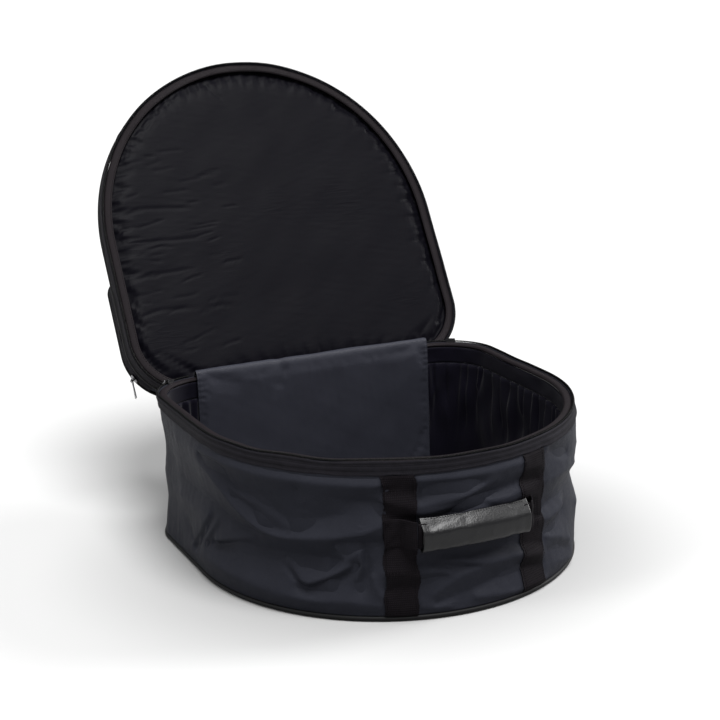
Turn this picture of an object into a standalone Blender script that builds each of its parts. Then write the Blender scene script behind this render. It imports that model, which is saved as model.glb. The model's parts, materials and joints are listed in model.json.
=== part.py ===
"""A padded, D-shaped snare drum bag, standing open with its lid leaning back.

Metres, +Z up. The origin is on the floor, at the centre of the bag's round front.
The round front and the carry handle face -Y, the flat back and the lid's hinge are at +Y.
The lid is modelled shut, hung on an empty at its hinge, and turned open by that empty.
"""

import math

import bmesh
import bpy
from mathutils import Matrix, Vector

# Driving dimensions of the bag, in metres and degrees
bag_width = 0.486
front_depth = 0.256
side_run = 0.145
back_corner_radius = 0.077
wall_top = 0.1945
lid_open_angle = 122.0
lid_overhang = 0.0015
lid_depth = 0.0275

# Gaps between sewn pieces, and between pieces that move past each other
seam_gap = 0.0003
fold_gap = 0.0008
mouth_gap = 0.0022

# Layers of the wall and the base
shell_thickness = 0.002
wall_foam_thickness = 0.008
lining_thickness = 0.003
facing_thickness = 0.002
facing_height = 0.0225
base_panel_thickness = 0.0025
base_foam_thickness = 0.008
base_lining_thickness = 0.003
piping_radius = 0.003
base_piping_inset = 0.0015

# Rim of the bag: binding, zip tape and zip coil
rim_binding_height = 0.0042
zip_tape_thickness = 0.0012
zip_tape_height = 0.0165
zip_coil_height = 0.003
zip_coil_inset = 0.002

# Fabric hinge between the bag and the lid
hinge_axis_inset = 0.0055
hinge_axis_drop = 0.0065
hinge_zip_gap = 0.0075
hinge_panel_thickness = 0.004
hinge_crest_height = 0.003
hinge_strip_thickness = 0.0012
hinge_strip_height = 0.028
hinge_strip_top_drop = 0.0195
lid_hinge_binding_depth = 0.0035
lid_hinge_binding_overlap = 0.001

# Layers of the lid
lid_binding_width = 0.0087
lid_binding_thickness = 0.002
lid_piping_inset = 0.0005
lid_panel_thickness = 0.002
lid_foam_thickness = 0.0099
lid_lining_thickness = 0.003
lid_lining_inset = 0.0065

# Accessory pocket on the outside of the lid
pocket_side_inset = 0.003
pocket_length = 0.180
pocket_back_setback = 0.010
pocket_depth = 0.033
pocket_wall = 0.002
pocket_corner_inset = 0.007
pocket_front_radius = 0.022
pocket_panel_thickness = 0.0025
pocket_piping_radius = 0.0022
pocket_tape_height = 0.015
pocket_coil_width = 0.0035

# Webbing straps and the carry handle
webbing_thickness = 0.0016
strap_width = 0.040
strap_angle = 21.0
strap_top_drop = 0.0005
handle_pivot_height = 0.129
handle_pivot_clearance = 0.0020
handle_webbing_width = 0.030
grip_height = 0.040
grip_thickness = 0.017
grip_bow = 0.005
grip_wall_clearance = 0.0015
wrap_thickness = 0.0015
core_slot_clearance = 0.0006
webbing_end_length = 0.0045
handle_tab_length = 0.030
handle_tab_width = 0.034
handle_tab_gap = 0.0007

# Zip sliders and their pulls
slider_park_angle = 35.0
slider_length = 0.012
slider_plate_thickness = 0.0013
slider_clearance = 0.0008
slider_skirt = 0.010
slider_cap_thickness = 0.0009
slider_nose_length = 0.004
slider_bar_stand_off = 0.003
slider_bar_radius = 0.0008
slider_bail_inset = 0.0012
slider_bail_corner = 0.0017
slider_bar_drop = 0.006
pocket_slider_skirt = 0.010
pocket_slider_park_angle = 60.0
pull_eye_radius = 0.0023
pull_hole_radius = 0.00125
pull_length = 0.026
pull_thickness = 0.0014
pull_width = 0.0056
pull_tip_hole_radius = 0.0011
pull_tip_hole_drop = 0.0205

# Facets of the curves, as counts
front_steps = 38
corner_steps = 9
pocket_corner_steps = 7
zip_end_steps = 1
pocket_zip_end_steps = 3
strap_steps = 6
grip_steps = 10
eye_steps = 14
bail_steps = 4
tube_resolution = 2
oval_resolution = 4

# One overrun for every cut
cut_overrun = 0.002
weld_distance = 0.00001
smooth_angle = 40.0

# Outlines of the slider's plate, its nose and its pull, as shares of half their width and of their height
plate_shares = ((0.50, 0.0), (0.82, 0.06), (0.95, 0.22), (1.0, 0.50), (1.0, 0.88), (0.90, 1.0))
nose_shares = ((0.45, 0.0), (1.0, 0.30), (1.0, 0.45), (0.75, 0.62), (1.3, 0.86), (1.5, 1.0))
pull_shares = ((1.0, 0.0), (1.0, 0.13), (0.60, 0.28), (0.66, 0.48), (1.0, 0.74), (0.94, 0.90), (0.58, 1.0))

# Heights that follow from the sizes above
half_width = bag_width / 2
corner_x = half_width - back_corner_radius
back_y = side_run + back_corner_radius
pocket_width = bag_width - 2 * pocket_side_inset
pocket_back_radius = back_corner_radius - pocket_corner_inset
zip_end_angle = math.radians(90 / corner_steps * zip_end_steps)
zip_end_x = corner_x + (back_corner_radius - zip_coil_inset) * math.sin(zip_end_angle)
hinge_panel_width = 2 * (zip_end_x - hinge_zip_gap)
lid_hinge_binding_width = hinge_panel_width + 2 * lid_hinge_binding_overlap
base_piping_z = piping_radius + zip_tape_thickness / 2
wall_low = base_piping_z + piping_radius + seam_gap
base_foam_low = base_panel_thickness + seam_gap
base_lining_low = base_foam_low + base_foam_thickness + seam_gap
inside_low = base_lining_low + base_lining_thickness + seam_gap
foam_inset = shell_thickness + seam_gap
lining_inset = foam_inset + wall_foam_thickness + seam_gap
inside_inset = lining_inset + lining_thickness
binding_low = wall_top - rim_binding_height
facing_low = binding_low - seam_gap - facing_height
coil_low = wall_top + seam_gap
coil_top = coil_low + zip_coil_height
tape_outside = seam_gap + zip_tape_thickness
mouth_z = coil_top + mouth_gap
hinge_position = Vector((0, back_y - hinge_axis_inset, wall_top - hinge_axis_drop))
floor_origin = Vector((0, 0, 0))


def arc(centre, radii, start, end, steps):
    """Points along an arc or a stretch of an ellipse, with its angles in degrees."""
    angles = [math.radians(start + (end - start) * i / steps) for i in range(steps + 1)]
    return [(centre[0] + radii[0] * math.cos(a), centre[1] + radii[1] * math.sin(a)) for a in angles]


def bag_path(offset):
    """The D of the bag, from the back left corner round the front to the back right one."""
    turn = (back_corner_radius + offset,) * 2
    front = (half_width + offset, front_depth + offset)
    left = arc((-corner_x, side_run), turn, 90, 180, corner_steps)
    right = arc((corner_x, side_run), turn, 0, 90, corner_steps)
    return left + arc((0, 0), front, 180, 360, front_steps) + right


def pocket_path(offset):
    """The pocket's rounded rectangle, from its back left corner round the front."""
    side_x = pocket_width / 2
    low_y = pocket_back_y - pocket_length
    back_x = side_x - pocket_back_radius
    back_centre_y = pocket_back_y - pocket_back_radius
    front_x = side_x - pocket_front_radius
    front_centre_y = low_y + pocket_front_radius
    back_turn = (pocket_back_radius + offset,) * 2
    front_turn = (pocket_front_radius + offset,) * 2
    steps = pocket_corner_steps
    path = arc((-back_x, back_centre_y), back_turn, 90, 180, steps)
    path += arc((-front_x, front_centre_y), front_turn, 180, 270, steps)
    path += arc((front_x, front_centre_y), front_turn, 270, 360, steps)
    path += arc((back_x, back_centre_y), back_turn, 0, 90, steps)
    return path


def strip_outline(path, outer, inner, end_steps):
    """A band along a path, between two offsets of it, that stops some steps short of both ends."""
    return path(outer)[end_steps:-end_steps] + path(inner)[end_steps:-end_steps][::-1]


def ribbon_outline(points, thickness):
    """A band of even thickness along a line of points."""
    left, right = [], []
    for i, point in enumerate(points):
        before = Vector(points[max(i - 1, 0)])
        after = Vector(points[min(i + 1, len(points) - 1)])
        along = (after - before).normalized()
        side = Vector((-along.y, along.x)) * thickness / 2
        left.append(tuple(Vector(point) + side))
        right.append(tuple(Vector(point) - side))
    return left + right[::-1]


def rectangle(low, high):
    """The four corners of a rectangle."""
    return [(low[0], low[1]), (high[0], low[1]), (high[0], high[1]), (low[0], high[1])]


def new_material(name, colour, roughness, metallic=0.0):
    """A plain Principled finish."""
    made = bpy.data.materials.new(name)
    made.use_nodes = True
    shader = made.node_tree.nodes["Principled BSDF"]
    shader.inputs["Base Color"].default_value = (*colour, 1)
    shader.inputs["Roughness"].default_value = roughness
    shader.inputs["Metallic"].default_value = metallic
    return made


def new_collection(name):
    """A collection in the scene."""
    made = bpy.data.collections.new(name)
    bpy.context.scene.collection.children.link(made)
    return made


def new_frame(name, position, parent=None, tilt=0):
    """An empty on a joint's axis, at its place with the lid shut, turned about X by tilt degrees."""
    empty = bpy.data.objects.new(name, None)
    pieces.objects.link(empty)
    empty.parent = parent
    closed = Vector(position)
    empty["closed"] = list(closed)
    empty.location = closed - closed_place(parent)
    empty.rotation_euler.x = math.radians(tilt)
    return empty


def closed_place(frame):
    """Where a frame stands with the lid shut."""
    return Vector(frame["closed"]) if frame else floor_origin


def place(obj, frame, position, turn=(0, 0, 0)):
    """Hangs an object on a frame, at a place given with the lid shut."""
    obj.parent = frame
    obj.location = Vector(position) - closed_place(frame)
    obj.rotation_euler = [math.radians(a) for a in turn]
    return obj


def flat_curve(outlines, half_depth):
    """A filled 2D curve of one or more closed outlines, extruded by half its depth each way."""
    curve = bpy.data.curves.new("outline", "CURVE")
    curve.dimensions = "2D"
    curve.fill_mode = "BOTH"
    curve.extrude = half_depth
    for outline in outlines:
        spline = curve.splines.new("POLY")
        spline.points.add(len(outline) - 1)
        for point, (x, y) in zip(spline.points, outline):
            point.co = (x, y, 0, 1)
        spline.use_cyclic_u = True
    return curve


def slab(name, outlines, low, high, look, frame=None):
    """A flat outline, or an outline with a hole, standing between two heights."""
    curve = flat_curve(outlines, (high - low) / 2)
    curve.materials.append(look)
    obj = bpy.data.objects.new(name, curve)
    pieces.objects.link(obj)
    return place(obj, frame, (0, 0, (low + high) / 2))


def tube_curve(points, radius, closed, resolution):
    """A round tube along a line of points."""
    curve = bpy.data.curves.new("tube", "CURVE")
    curve.dimensions = "3D"
    curve.bevel_depth = radius
    curve.bevel_resolution = resolution
    curve.use_fill_caps = not closed
    spline = curve.splines.new("POLY")
    spline.points.add(len(points) - 1)
    for point, (x, y) in zip(spline.points, points):
        point.co = (x, y, 0, 1)
    spline.use_cyclic_u = closed
    spline.use_smooth = True
    return curve


def piping(name, outline, radius, height, look, frame=None):
    """A round cord sewn all round a seam."""
    curve = tube_curve(outline, radius, True, tube_resolution)
    curve.materials.append(look)
    obj = bpy.data.objects.new(name, curve)
    pieces.objects.link(obj)
    return place(obj, frame, (0, 0, height))


def solid_mesh(curve, name, stretch=1):
    """The closed mesh of a curve, stretched along Z."""
    source = bpy.data.objects.new(name, curve)
    bpy.context.scene.collection.objects.link(source)
    bpy.context.view_layer.update()
    evaluated = source.evaluated_get(bpy.context.evaluated_depsgraph_get())
    mesh = bpy.data.meshes.new_from_object(evaluated)
    bpy.data.objects.remove(source)
    work = bmesh.new()
    work.from_mesh(mesh)
    bmesh.ops.remove_doubles(work, verts=work.verts, dist=weld_distance)
    work.to_mesh(mesh)
    work.free()
    mesh.transform(Matrix.Diagonal((1, 1, stretch, 1)))
    mesh.shade_smooth()
    mesh.set_sharp_from_angle(angle=math.radians(smooth_angle))
    return mesh


def mesh_object(name, mesh, look):
    """A named sub-part made of a mesh."""
    obj = bpy.data.objects.new(name, mesh)
    mesh.materials.append(look)
    pieces.objects.link(obj)
    return obj


def combine(target, mesh, operation):
    """Adds a mesh to a sub-part, or cuts it away, in the sub-part's own axes."""
    cutter = bpy.data.objects.new(target.name + "_cutter", mesh)
    cutters.objects.link(cutter)
    cutter.parent = target.parent
    cutter.location = target.location
    cutter.rotation_euler = target.rotation_euler
    cutter.hide_render = True
    cutter.display_type = "WIRE"
    step = target.modifiers.new(operation.lower(), "BOOLEAN")
    step.operation = operation
    step.solver = "EXACT"
    step.object = cutter


for old in list(bpy.data.objects):
    bpy.data.objects.remove(old)
pieces = new_collection("snare_drum_bag")
cutters = new_collection("cutters")

# Finishes
nylon = new_material("coated_nylon", (0.020, 0.023, 0.030), 0.55)
hinge_cloth = new_material("hinge_cloth", (0.026, 0.029, 0.039), 0.50)
satin = new_material("satin_lining", (0.008, 0.008, 0.010), 0.42)
webbing = new_material("webbing", (0.011, 0.010, 0.010), 0.80)
zip_cloth = new_material("zip_tape", (0.008, 0.0075, 0.0075), 0.85)
coil_plastic = new_material("zip_coil", (0.006, 0.006, 0.006), 0.40)
binding_cloth = new_material("binding", (0.007, 0.007, 0.008), 0.70)
piping_vinyl = new_material("piping", (0.006, 0.006, 0.007), 0.45)
foam = new_material("foam", (0.10, 0.10, 0.10), 0.95)
grip_leather = new_material("grip_leather", (0.010, 0.010, 0.012), 0.38)
slider_metal = new_material("slider_metal", (0.16, 0.16, 0.17), 0.35, 0.9)

# Base: outer panel, piping round its seam, foam pad and lining
base_inset = piping_radius + base_piping_inset + seam_gap
slab("base_panel", [bag_path(-base_inset)], 0, base_panel_thickness, nylon)
piping("base_piping", bag_path(-base_piping_inset), piping_radius, base_piping_z, piping_vinyl)
slab("base_foam", [bag_path(-base_inset)], base_foam_low, base_foam_low + base_foam_thickness, foam)
base_lining_outline = bag_path(-inside_inset - seam_gap)
base_lining_top = base_lining_low + base_lining_thickness
slab("base_lining", [base_lining_outline], base_lining_low, base_lining_top, satin)


def wall_ring(name, outer, inner, low, high, look):
    """One layer of the bag's wall, all the way round."""
    return slab(name, [bag_path(-outer), bag_path(-inner)], low, high, look)


# Wall: outer shell, foam, padded lining, smooth facing under the rim and the binding on top
wall_ring("wall_shell", 0, shell_thickness, wall_low, wall_top, nylon)
wall_ring("wall_foam", foam_inset, foam_inset + wall_foam_thickness,
          base_lining_low, binding_low - seam_gap, foam)
wall_ring("wall_lining", lining_inset, inside_inset, base_lining_low, facing_low - seam_gap, satin)
wall_ring("wall_facing", lining_inset, lining_inset + facing_thickness,
          facing_low, binding_low - seam_gap, binding_cloth)
wall_ring("rim_binding", foam_inset, lining_inset + facing_thickness, binding_low, wall_top, binding_cloth)

# Zip along the rim, open at the hinge
tape_low = wall_top - zip_tape_height
slab("rim_zip_tape", [strip_outline(bag_path, tape_outside, seam_gap, zip_end_steps)],
     tape_low, wall_top, zip_cloth)
slab("rim_zip_coil", [strip_outline(bag_path, tape_outside, -zip_coil_inset, zip_end_steps)],
     coil_low, coil_top, coil_plastic)


def cross_section(name, outline, width, look, frame=None):
    """An outline in Y and Z, drawn out along X to a width and centred."""
    curve = flat_curve([outline], width / 2)
    curve.materials.append(look)
    obj = bpy.data.objects.new(name, curve)
    pieces.objects.link(obj)
    return place(obj, frame, floor_origin, (90, 0, 90))


# Fabric hinge: padded panel down the inside of the back, its crest over the rim, and the outer strip
panel_back = back_y - inside_inset - fold_gap
panel_front = panel_back - hinge_panel_thickness
crest_back = back_y - seam_gap
crest_top = coil_low + hinge_crest_height
panel_section = [(panel_front, inside_low), (panel_back, inside_low), (panel_back, coil_low),
                 (crest_back, coil_low), (crest_back, crest_top), (panel_front, crest_top)]
cross_section("hinge_panel", panel_section, hinge_panel_width, hinge_cloth)
strip_low = (back_y + seam_gap, wall_top - hinge_strip_top_drop - hinge_strip_height)
strip_high = (strip_low[0] + hinge_strip_thickness, strip_low[1] + hinge_strip_height)
cross_section("hinge_strip", rectangle(strip_low, strip_high), hinge_panel_width, webbing)

# Straps up the front wall, from the base seam to the zip tape
strap_half_angle = math.degrees(strap_width / 2 / half_width)
strap_inner = seam_gap
strap_outer = strap_inner + webbing_thickness
strap_top = tape_low - strap_top_drop


def front_band(centre_angle, half_angle, outer, inner):
    """A band that follows the round front, centred on an angle from the middle of the front."""
    start = 270 + centre_angle - half_angle
    end = 270 + centre_angle + half_angle
    far = arc((0, 0), (half_width + outer, front_depth + outer), start, end, strap_steps)
    near = arc((0, 0), (half_width + inner, front_depth + inner), start, end, strap_steps)
    return far + near[::-1]


for side, word in ((-1, "left"), (1, "right")):
    band = front_band(side * strap_angle, strap_half_angle, strap_outer, strap_inner)
    slab(word + "_strap", [band], wall_low, strap_top, webbing)

# Carry handle: webbing through a foam core in a leather wrap, between two sewn tabs
grip_half = half_width * math.sin(math.radians(strap_angle - strap_half_angle))
grip_front_y = -(front_depth + grip_wall_clearance + grip_thickness / 2)
grip_radius = (grip_half ** 2 + grip_bow ** 2) / (2 * grip_bow)
handle_hinge = new_frame(
    "handle_hinge", (0, -(front_depth + handle_pivot_clearance), handle_pivot_height)
)
grip_middle_z = handle_pivot_height - grip_height / 2


def grip_line(reach):
    """The bowed centre line of the grip, reaching this far each way from its middle."""
    limit = math.degrees(math.asin(reach / grip_radius))
    centre = (0, grip_front_y + grip_radius)
    return arc(centre, (grip_radius,) * 2, 270 - limit, 270 + limit, grip_steps)


def oval_mesh(reach, thickness, height, name):
    """An oval bar along the grip's line."""
    curve = tube_curve(grip_line(reach), thickness / 2, False, oval_resolution)
    return solid_mesh(curve, name, height / thickness)


core_thickness = grip_thickness - 2 * (wrap_thickness + seam_gap)
core_height = grip_height - 2 * (wrap_thickness + seam_gap)
bore_thickness = grip_thickness - 2 * wrap_thickness
bore_height = grip_height - 2 * wrap_thickness
middle = (0, 0, grip_middle_z)
wrap = mesh_object("handle_wrap", oval_mesh(grip_half, grip_thickness, grip_height, "wrap"), grip_leather)
place(wrap, handle_hinge, middle)
combine(wrap, oval_mesh(grip_half + cut_overrun, bore_thickness, bore_height, "bore"), "DIFFERENCE")
core_reach = grip_half - cut_overrun
core = mesh_object("handle_core", oval_mesh(core_reach, core_thickness, core_height, "core"), foam)
place(core, handle_hinge, middle)
slot_line = grip_line(grip_half + cut_overrun)
slot_depth = handle_webbing_width / 2 + core_slot_clearance
slot_outline = ribbon_outline(slot_line, webbing_thickness + 2 * core_slot_clearance)
combine(core, solid_mesh(flat_curve([slot_outline], slot_depth), "slot"), "DIFFERENCE")
webbing_reach = grip_half + webbing_end_length
inner_webbing = ribbon_outline(grip_line(webbing_reach), webbing_thickness)
slab("handle_webbing", [inner_webbing], grip_middle_z - handle_webbing_width / 2,
     grip_middle_z + handle_webbing_width / 2, webbing, handle_hinge)

# Tabs that carry the handle, sewn on the straps and standing off to meet its webbing
tab_offset = strap_outer + seam_gap + webbing_thickness / 2
tab_meeting = Vector(grip_line(webbing_reach)[-1]) + Vector((handle_tab_gap + webbing_thickness / 2, 0))
tab_start_angle = math.asin(tab_meeting.x / half_width)
tab_reach_angle = handle_tab_length / half_width
tab_shares = (1.0, 0.66, 0.33, 0.12)
for side, word in ((-1, "left"), (1, "right")):
    line = []
    for share in tab_shares:
        around = tab_start_angle + tab_reach_angle * share
        line.append((side * (half_width + tab_offset) * math.sin(around),
                     -(front_depth + tab_offset) * math.cos(around)))
    line.append((side * tab_meeting.x, tab_meeting.y))
    slab(word + "_handle_tab", [ribbon_outline(line, webbing_thickness)],
         grip_middle_z - handle_tab_width / 2, grip_middle_z + handle_tab_width / 2, webbing)

# Lid, modelled shut and turned open about its hinge
lid_hinge = new_frame("lid_hinge", hinge_position, None, -lid_open_angle)
lid_top = mouth_z + lid_depth
lid_coil_top = mouth_z + zip_coil_height
gusset_low = lid_coil_top + seam_gap
lid_piping_z = lid_top - piping_radius
gusset_top = lid_piping_z - piping_radius - seam_gap
lid_panel_top = lid_piping_z + lid_panel_thickness / 2
lid_panel_low = lid_panel_top - lid_panel_thickness
lid_edge_inset = lid_piping_inset + piping_radius + seam_gap
lid_foam_top = lid_panel_low - seam_gap
lid_foam_low = lid_foam_top - lid_foam_thickness
lid_lining_top = lid_foam_low - seam_gap
lid_lining_low = lid_lining_top - lid_lining_thickness


def lid_path(offset):
    """The D of the lid, a little larger than the bag's."""
    return bag_path(lid_overhang + offset)


slab("lid_zip_coil", [strip_outline(lid_path, tape_outside, -zip_coil_inset, zip_end_steps)],
     mouth_z, lid_coil_top, coil_plastic, lid_hinge)
slab("lid_zip_tape", [strip_outline(lid_path, tape_outside, seam_gap, zip_end_steps)],
     gusset_low, gusset_low + zip_tape_height, zip_cloth, lid_hinge)
slab("lid_gusset", [lid_path(0), lid_path(-shell_thickness)], gusset_low, gusset_top, nylon, lid_hinge)
binding_inset = shell_thickness + seam_gap
slab("lid_binding", [lid_path(-binding_inset), lid_path(-binding_inset - lid_binding_width)],
     gusset_low, gusset_low + lid_binding_thickness, binding_cloth, lid_hinge)
piping("lid_piping", lid_path(-lid_piping_inset), piping_radius, lid_piping_z, piping_vinyl, lid_hinge)
slab("lid_panel", [lid_path(-lid_edge_inset)], lid_panel_low, lid_panel_top, nylon, lid_hinge)
slab("lid_foam", [lid_path(-lid_edge_inset)], lid_foam_low, lid_foam_top, foam, lid_hinge)
slab("lid_lining", [lid_path(-lid_lining_inset)], lid_lining_low, lid_lining_top, satin, lid_hinge)
lid_back_y = back_y + lid_overhang
hinge_binding = rectangle((lid_back_y - lid_hinge_binding_depth, mouth_z), (lid_back_y, lid_coil_top))
cross_section("lid_hinge_binding", hinge_binding, lid_hinge_binding_width, webbing, lid_hinge)

# Pocket on the lid: side gusset, zip on three sides and a front panel that folds open
pocket_back_y = lid_back_y - pocket_back_setback
pocket_low = lid_panel_top + seam_gap
pocket_top = pocket_low + pocket_depth
pocket_coil_low = pocket_top + seam_gap
pocket_coil_top = pocket_coil_low + zip_coil_height
pocket_piping_z = pocket_coil_top + seam_gap + pocket_piping_radius
slab("pocket_gusset", [pocket_path(0), pocket_path(-pocket_wall)],
     pocket_low, pocket_top, nylon, lid_hinge)
slab("pocket_zip_tape", [strip_outline(pocket_path, tape_outside, seam_gap, pocket_zip_end_steps)],
     pocket_top - pocket_tape_height, pocket_top, zip_cloth, lid_hinge)
pocket_coil_inner = tape_outside - pocket_coil_width
slab("pocket_zip_coil", [strip_outline(pocket_path, tape_outside, pocket_coil_inner, pocket_zip_end_steps)],
     pocket_coil_low, pocket_coil_top, coil_plastic, lid_hinge)
flap_hinge = new_frame("pocket_flap_hinge", (0, pocket_back_y, pocket_piping_z), lid_hinge)
piping("pocket_piping", pocket_path(0), pocket_piping_radius, pocket_piping_z, piping_vinyl, flap_hinge)
slab("pocket_panel", [pocket_path(-pocket_piping_radius - seam_gap)],
     pocket_piping_z - pocket_panel_thickness / 2, pocket_piping_z + pocket_panel_thickness / 2,
     nylon, flap_hinge)

# Zip sliders. Their own axes: X out of the bag, Y along the bar that carries the pull, Z away from the pull
standing = Matrix(((0, 0, 1, 0), (1, 0, 0, 0), (0, 1, 0, 0), (0, 0, 0, 1)))
plate_in = tape_outside + slider_clearance
plate_out = plate_in + slider_plate_thickness
bar_out = plate_out + slider_bar_stand_off


def mirrored_outline(shares, half, low, high):
    """An outline that is the same on both sides, from shares of its half width and of its height."""
    right = [(half * across, low + (high - low) * along) for across, along in shares]
    return right + [(-x, y) for x, y in right[::-1]]


def upright_plate(half, low, high, near, far):
    """A plate of the slider, standing along the zip between two distances from the wall."""
    outline = mirrored_outline(plate_shares, half, low, high)
    mesh = solid_mesh(flat_curve([outline], (far - near) / 2), "plate")
    mesh.transform(Matrix.Translation(((near + far) / 2, 0, 0)) @ standing)
    return mesh


def bail_mesh(half, height):
    """The arched bail on the outer plate, bent from one round rod, that the pull hangs on."""
    reach = half - slider_bail_inset
    corner = (bar_out - slider_bail_corner, reach - slider_bail_corner)
    foot = plate_out - slider_clearance
    bend = arc(corner, (slider_bail_corner,) * 2, 90, 0, bail_steps)
    line = [(foot, reach)] + bend + [(x, -y) for x, y in bend[::-1]] + [(foot, -reach)]
    mesh = solid_mesh(tube_curve(line, slider_bar_radius, False, tube_resolution), "bail")
    mesh.transform(Matrix.Translation((0, 0, height)))
    return mesh


def nose_mesh(half, near, far, low, high):
    """The nose over the top of the coil, drawn in at its middle, that joins the two plates."""
    outline = [(y, -x) for x, y in mirrored_outline(nose_shares, half, near, far)]
    mesh = solid_mesh(flat_curve([outline], (high - low) / 2), "nose")
    mesh.transform(Matrix.Translation((0, 0, (low + high) / 2)))
    return mesh


def slider_body(name, frame, position, turn, low, high, width, look):
    """The outer plate of a slider and the bail that its pull hangs on."""
    half = width / 2
    body = mesh_object(name, upright_plate(half, low, high, plate_in, plate_out), look)
    place(body, frame, position, turn)
    bar_z = high - slider_bar_drop
    combine(body, bail_mesh(half, bar_z), "UNION")
    return bar_z, body


def slider_pull(name, frame, turn, look):
    """A pull: an eye round the slider's bail and a waisted leaf with a hole, which hangs from it."""
    half = pull_thickness / 2
    lean = math.degrees(math.asin(half / pull_eye_radius))
    side = arc((0, 0), (pull_eye_radius,) * 2, -90 + lean, 270 - lean, eye_steps)
    tip = arc((0, half - pull_length), (half,) * 2, 180, 360, corner_steps)
    eye = arc((0, 0), (pull_hole_radius,) * 2, 0, 360, eye_steps)[:-1]
    mesh = solid_mesh(flat_curve([side + tip, eye], pull_width / 2 + cut_overrun), "pull")
    pull = mesh_object(name, mesh, look)
    pull.parent = frame
    pull.rotation_euler = [math.radians(a) for a in turn]
    top = pull_eye_radius + cut_overrun
    leaf = [(half_across, top) for half_across in (-pull_width / 2, pull_width / 2)]
    leaf += mirrored_outline(pull_shares, pull_width / 2, 0, -pull_length - cut_overrun)
    hole = arc((0, -pull_tip_hole_drop), (pull_tip_hole_radius,) * 2, 0, 360, eye_steps)[:-1]
    front = solid_mesh(flat_curve([leaf, hole], pull_eye_radius + cut_overrun), "leaf")
    front.transform(Matrix.Rotation(math.radians(90), 4, "Y"))
    combine(pull, front, "INTERSECT")
    return pull


cap_low = coil_top + seam_gap
cap_top = cap_low + slider_cap_thickness
inner_plate_in = zip_coil_inset + slider_clearance + slider_plate_thickness
inner_plate_out = zip_coil_inset + slider_clearance
for side, word in ((-1, "left"), (1, "right")):
    angle = 90 - side * slider_park_angle
    outward = Vector((math.cos(math.radians(angle)), math.sin(math.radians(angle)), 0))
    turn_centre = Vector((side * corner_x, side_run, 0))
    run = new_frame(word + "_zip_run", turn_centre)
    spot = turn_centre + outward * back_corner_radius
    bar_z, body = slider_body(word + "_zip_slider", run, spot, (0, 0, angle), coil_low - slider_skirt, cap_top,
                              slider_length, slider_metal)
    combine(body, upright_plate(slider_length / 2, coil_low, cap_top, -inner_plate_in, -inner_plate_out),
            "UNION")
    combine(body, nose_mesh(slider_nose_length / 2, -inner_plate_in, plate_out, cap_low, cap_top), "UNION")
    bar_spot = spot + outward * bar_out + Vector((0, 0, bar_z))
    pin = new_frame(word + "_pull_pin", bar_spot, run)
    slider_pull(word + "_zip_pull", pin, (90, 0, angle), slider_metal)

# Pocket slider, parked at the lower end of the pocket's left side
pocket_turn_centre = Vector((pocket_back_radius - pocket_width / 2, pocket_back_y - pocket_back_radius, 0))
pocket_run = new_frame("pocket_zip_run", pocket_turn_centre, lid_hinge)
pocket_angle = 90 + pocket_slider_park_angle
pocket_outward = Vector((math.cos(math.radians(pocket_angle)), math.sin(math.radians(pocket_angle)), 0))
pocket_plate_z = pocket_coil_top - pocket_slider_skirt / 2
pocket_spot = pocket_turn_centre + pocket_outward * pocket_back_radius + Vector((0, 0, pocket_plate_z))
slider_body("pocket_zip_slider", pocket_run, pocket_spot, (-90, 0, pocket_angle), -slider_length / 2,
            slider_bar_drop, pocket_slider_skirt, slider_metal)
pocket_pin = new_frame("pocket_pull_pin", pocket_spot + pocket_outward * bar_out, pocket_run)
slider_pull("pocket_zip_pull", pocket_pin, (0, 0, 180), slider_metal)
bpy.context.view_layer.update()
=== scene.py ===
"""Looks of a padded, D-shaped snare drum bag, standing open with its lid leaning back.

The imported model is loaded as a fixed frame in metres, +Z up, and every soft piece is built round it.
The lid and its pocket are shaped shut and then turned open about the hinge, as they are sewn.
"""

from __future__ import annotations

import json
import logging
import math
from dataclasses import dataclass, field, replace
from enum import Enum
from typing import Callable, Sequence, Union

import bmesh
import bpy
import numpy as np
from mathutils import Matrix, Vector
from mathutils.bvhtree import BVHTree


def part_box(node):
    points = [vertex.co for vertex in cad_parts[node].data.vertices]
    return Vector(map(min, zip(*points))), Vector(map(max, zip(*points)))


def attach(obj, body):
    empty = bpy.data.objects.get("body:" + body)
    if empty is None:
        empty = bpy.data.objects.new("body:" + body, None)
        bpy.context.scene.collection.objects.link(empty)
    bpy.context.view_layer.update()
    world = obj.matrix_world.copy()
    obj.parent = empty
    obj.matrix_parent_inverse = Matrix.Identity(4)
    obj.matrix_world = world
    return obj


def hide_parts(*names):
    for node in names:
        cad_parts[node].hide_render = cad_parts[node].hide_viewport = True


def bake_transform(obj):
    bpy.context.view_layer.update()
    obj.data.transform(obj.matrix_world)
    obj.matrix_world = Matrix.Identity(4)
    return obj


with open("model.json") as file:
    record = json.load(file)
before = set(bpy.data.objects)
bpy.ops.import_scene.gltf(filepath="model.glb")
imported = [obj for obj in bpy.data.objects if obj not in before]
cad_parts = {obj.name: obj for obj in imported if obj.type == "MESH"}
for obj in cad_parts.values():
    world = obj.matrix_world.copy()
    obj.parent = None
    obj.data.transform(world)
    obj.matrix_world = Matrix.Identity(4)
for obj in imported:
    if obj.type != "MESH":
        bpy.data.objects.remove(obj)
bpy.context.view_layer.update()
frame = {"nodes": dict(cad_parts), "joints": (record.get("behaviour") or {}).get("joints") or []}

log = logging.getLogger("snare_drum_bag")
Array = np.ndarray
Colour = tuple[float, float, float]
Shape = Callable[[Array, Array, Array], tuple[Array, Array, Array]]
Face = Callable[[Array, Array], Array]

FULL_TURN = 2 * math.pi
MILLIMETRE = 0.001
TAPE_FACES = (0.0015, 0.0003)  # a zip tape's outside and inside, off the cloth's outline
COIL_OFFSET = -0.00025  # the middle of a zip's coil, off that outline


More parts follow.
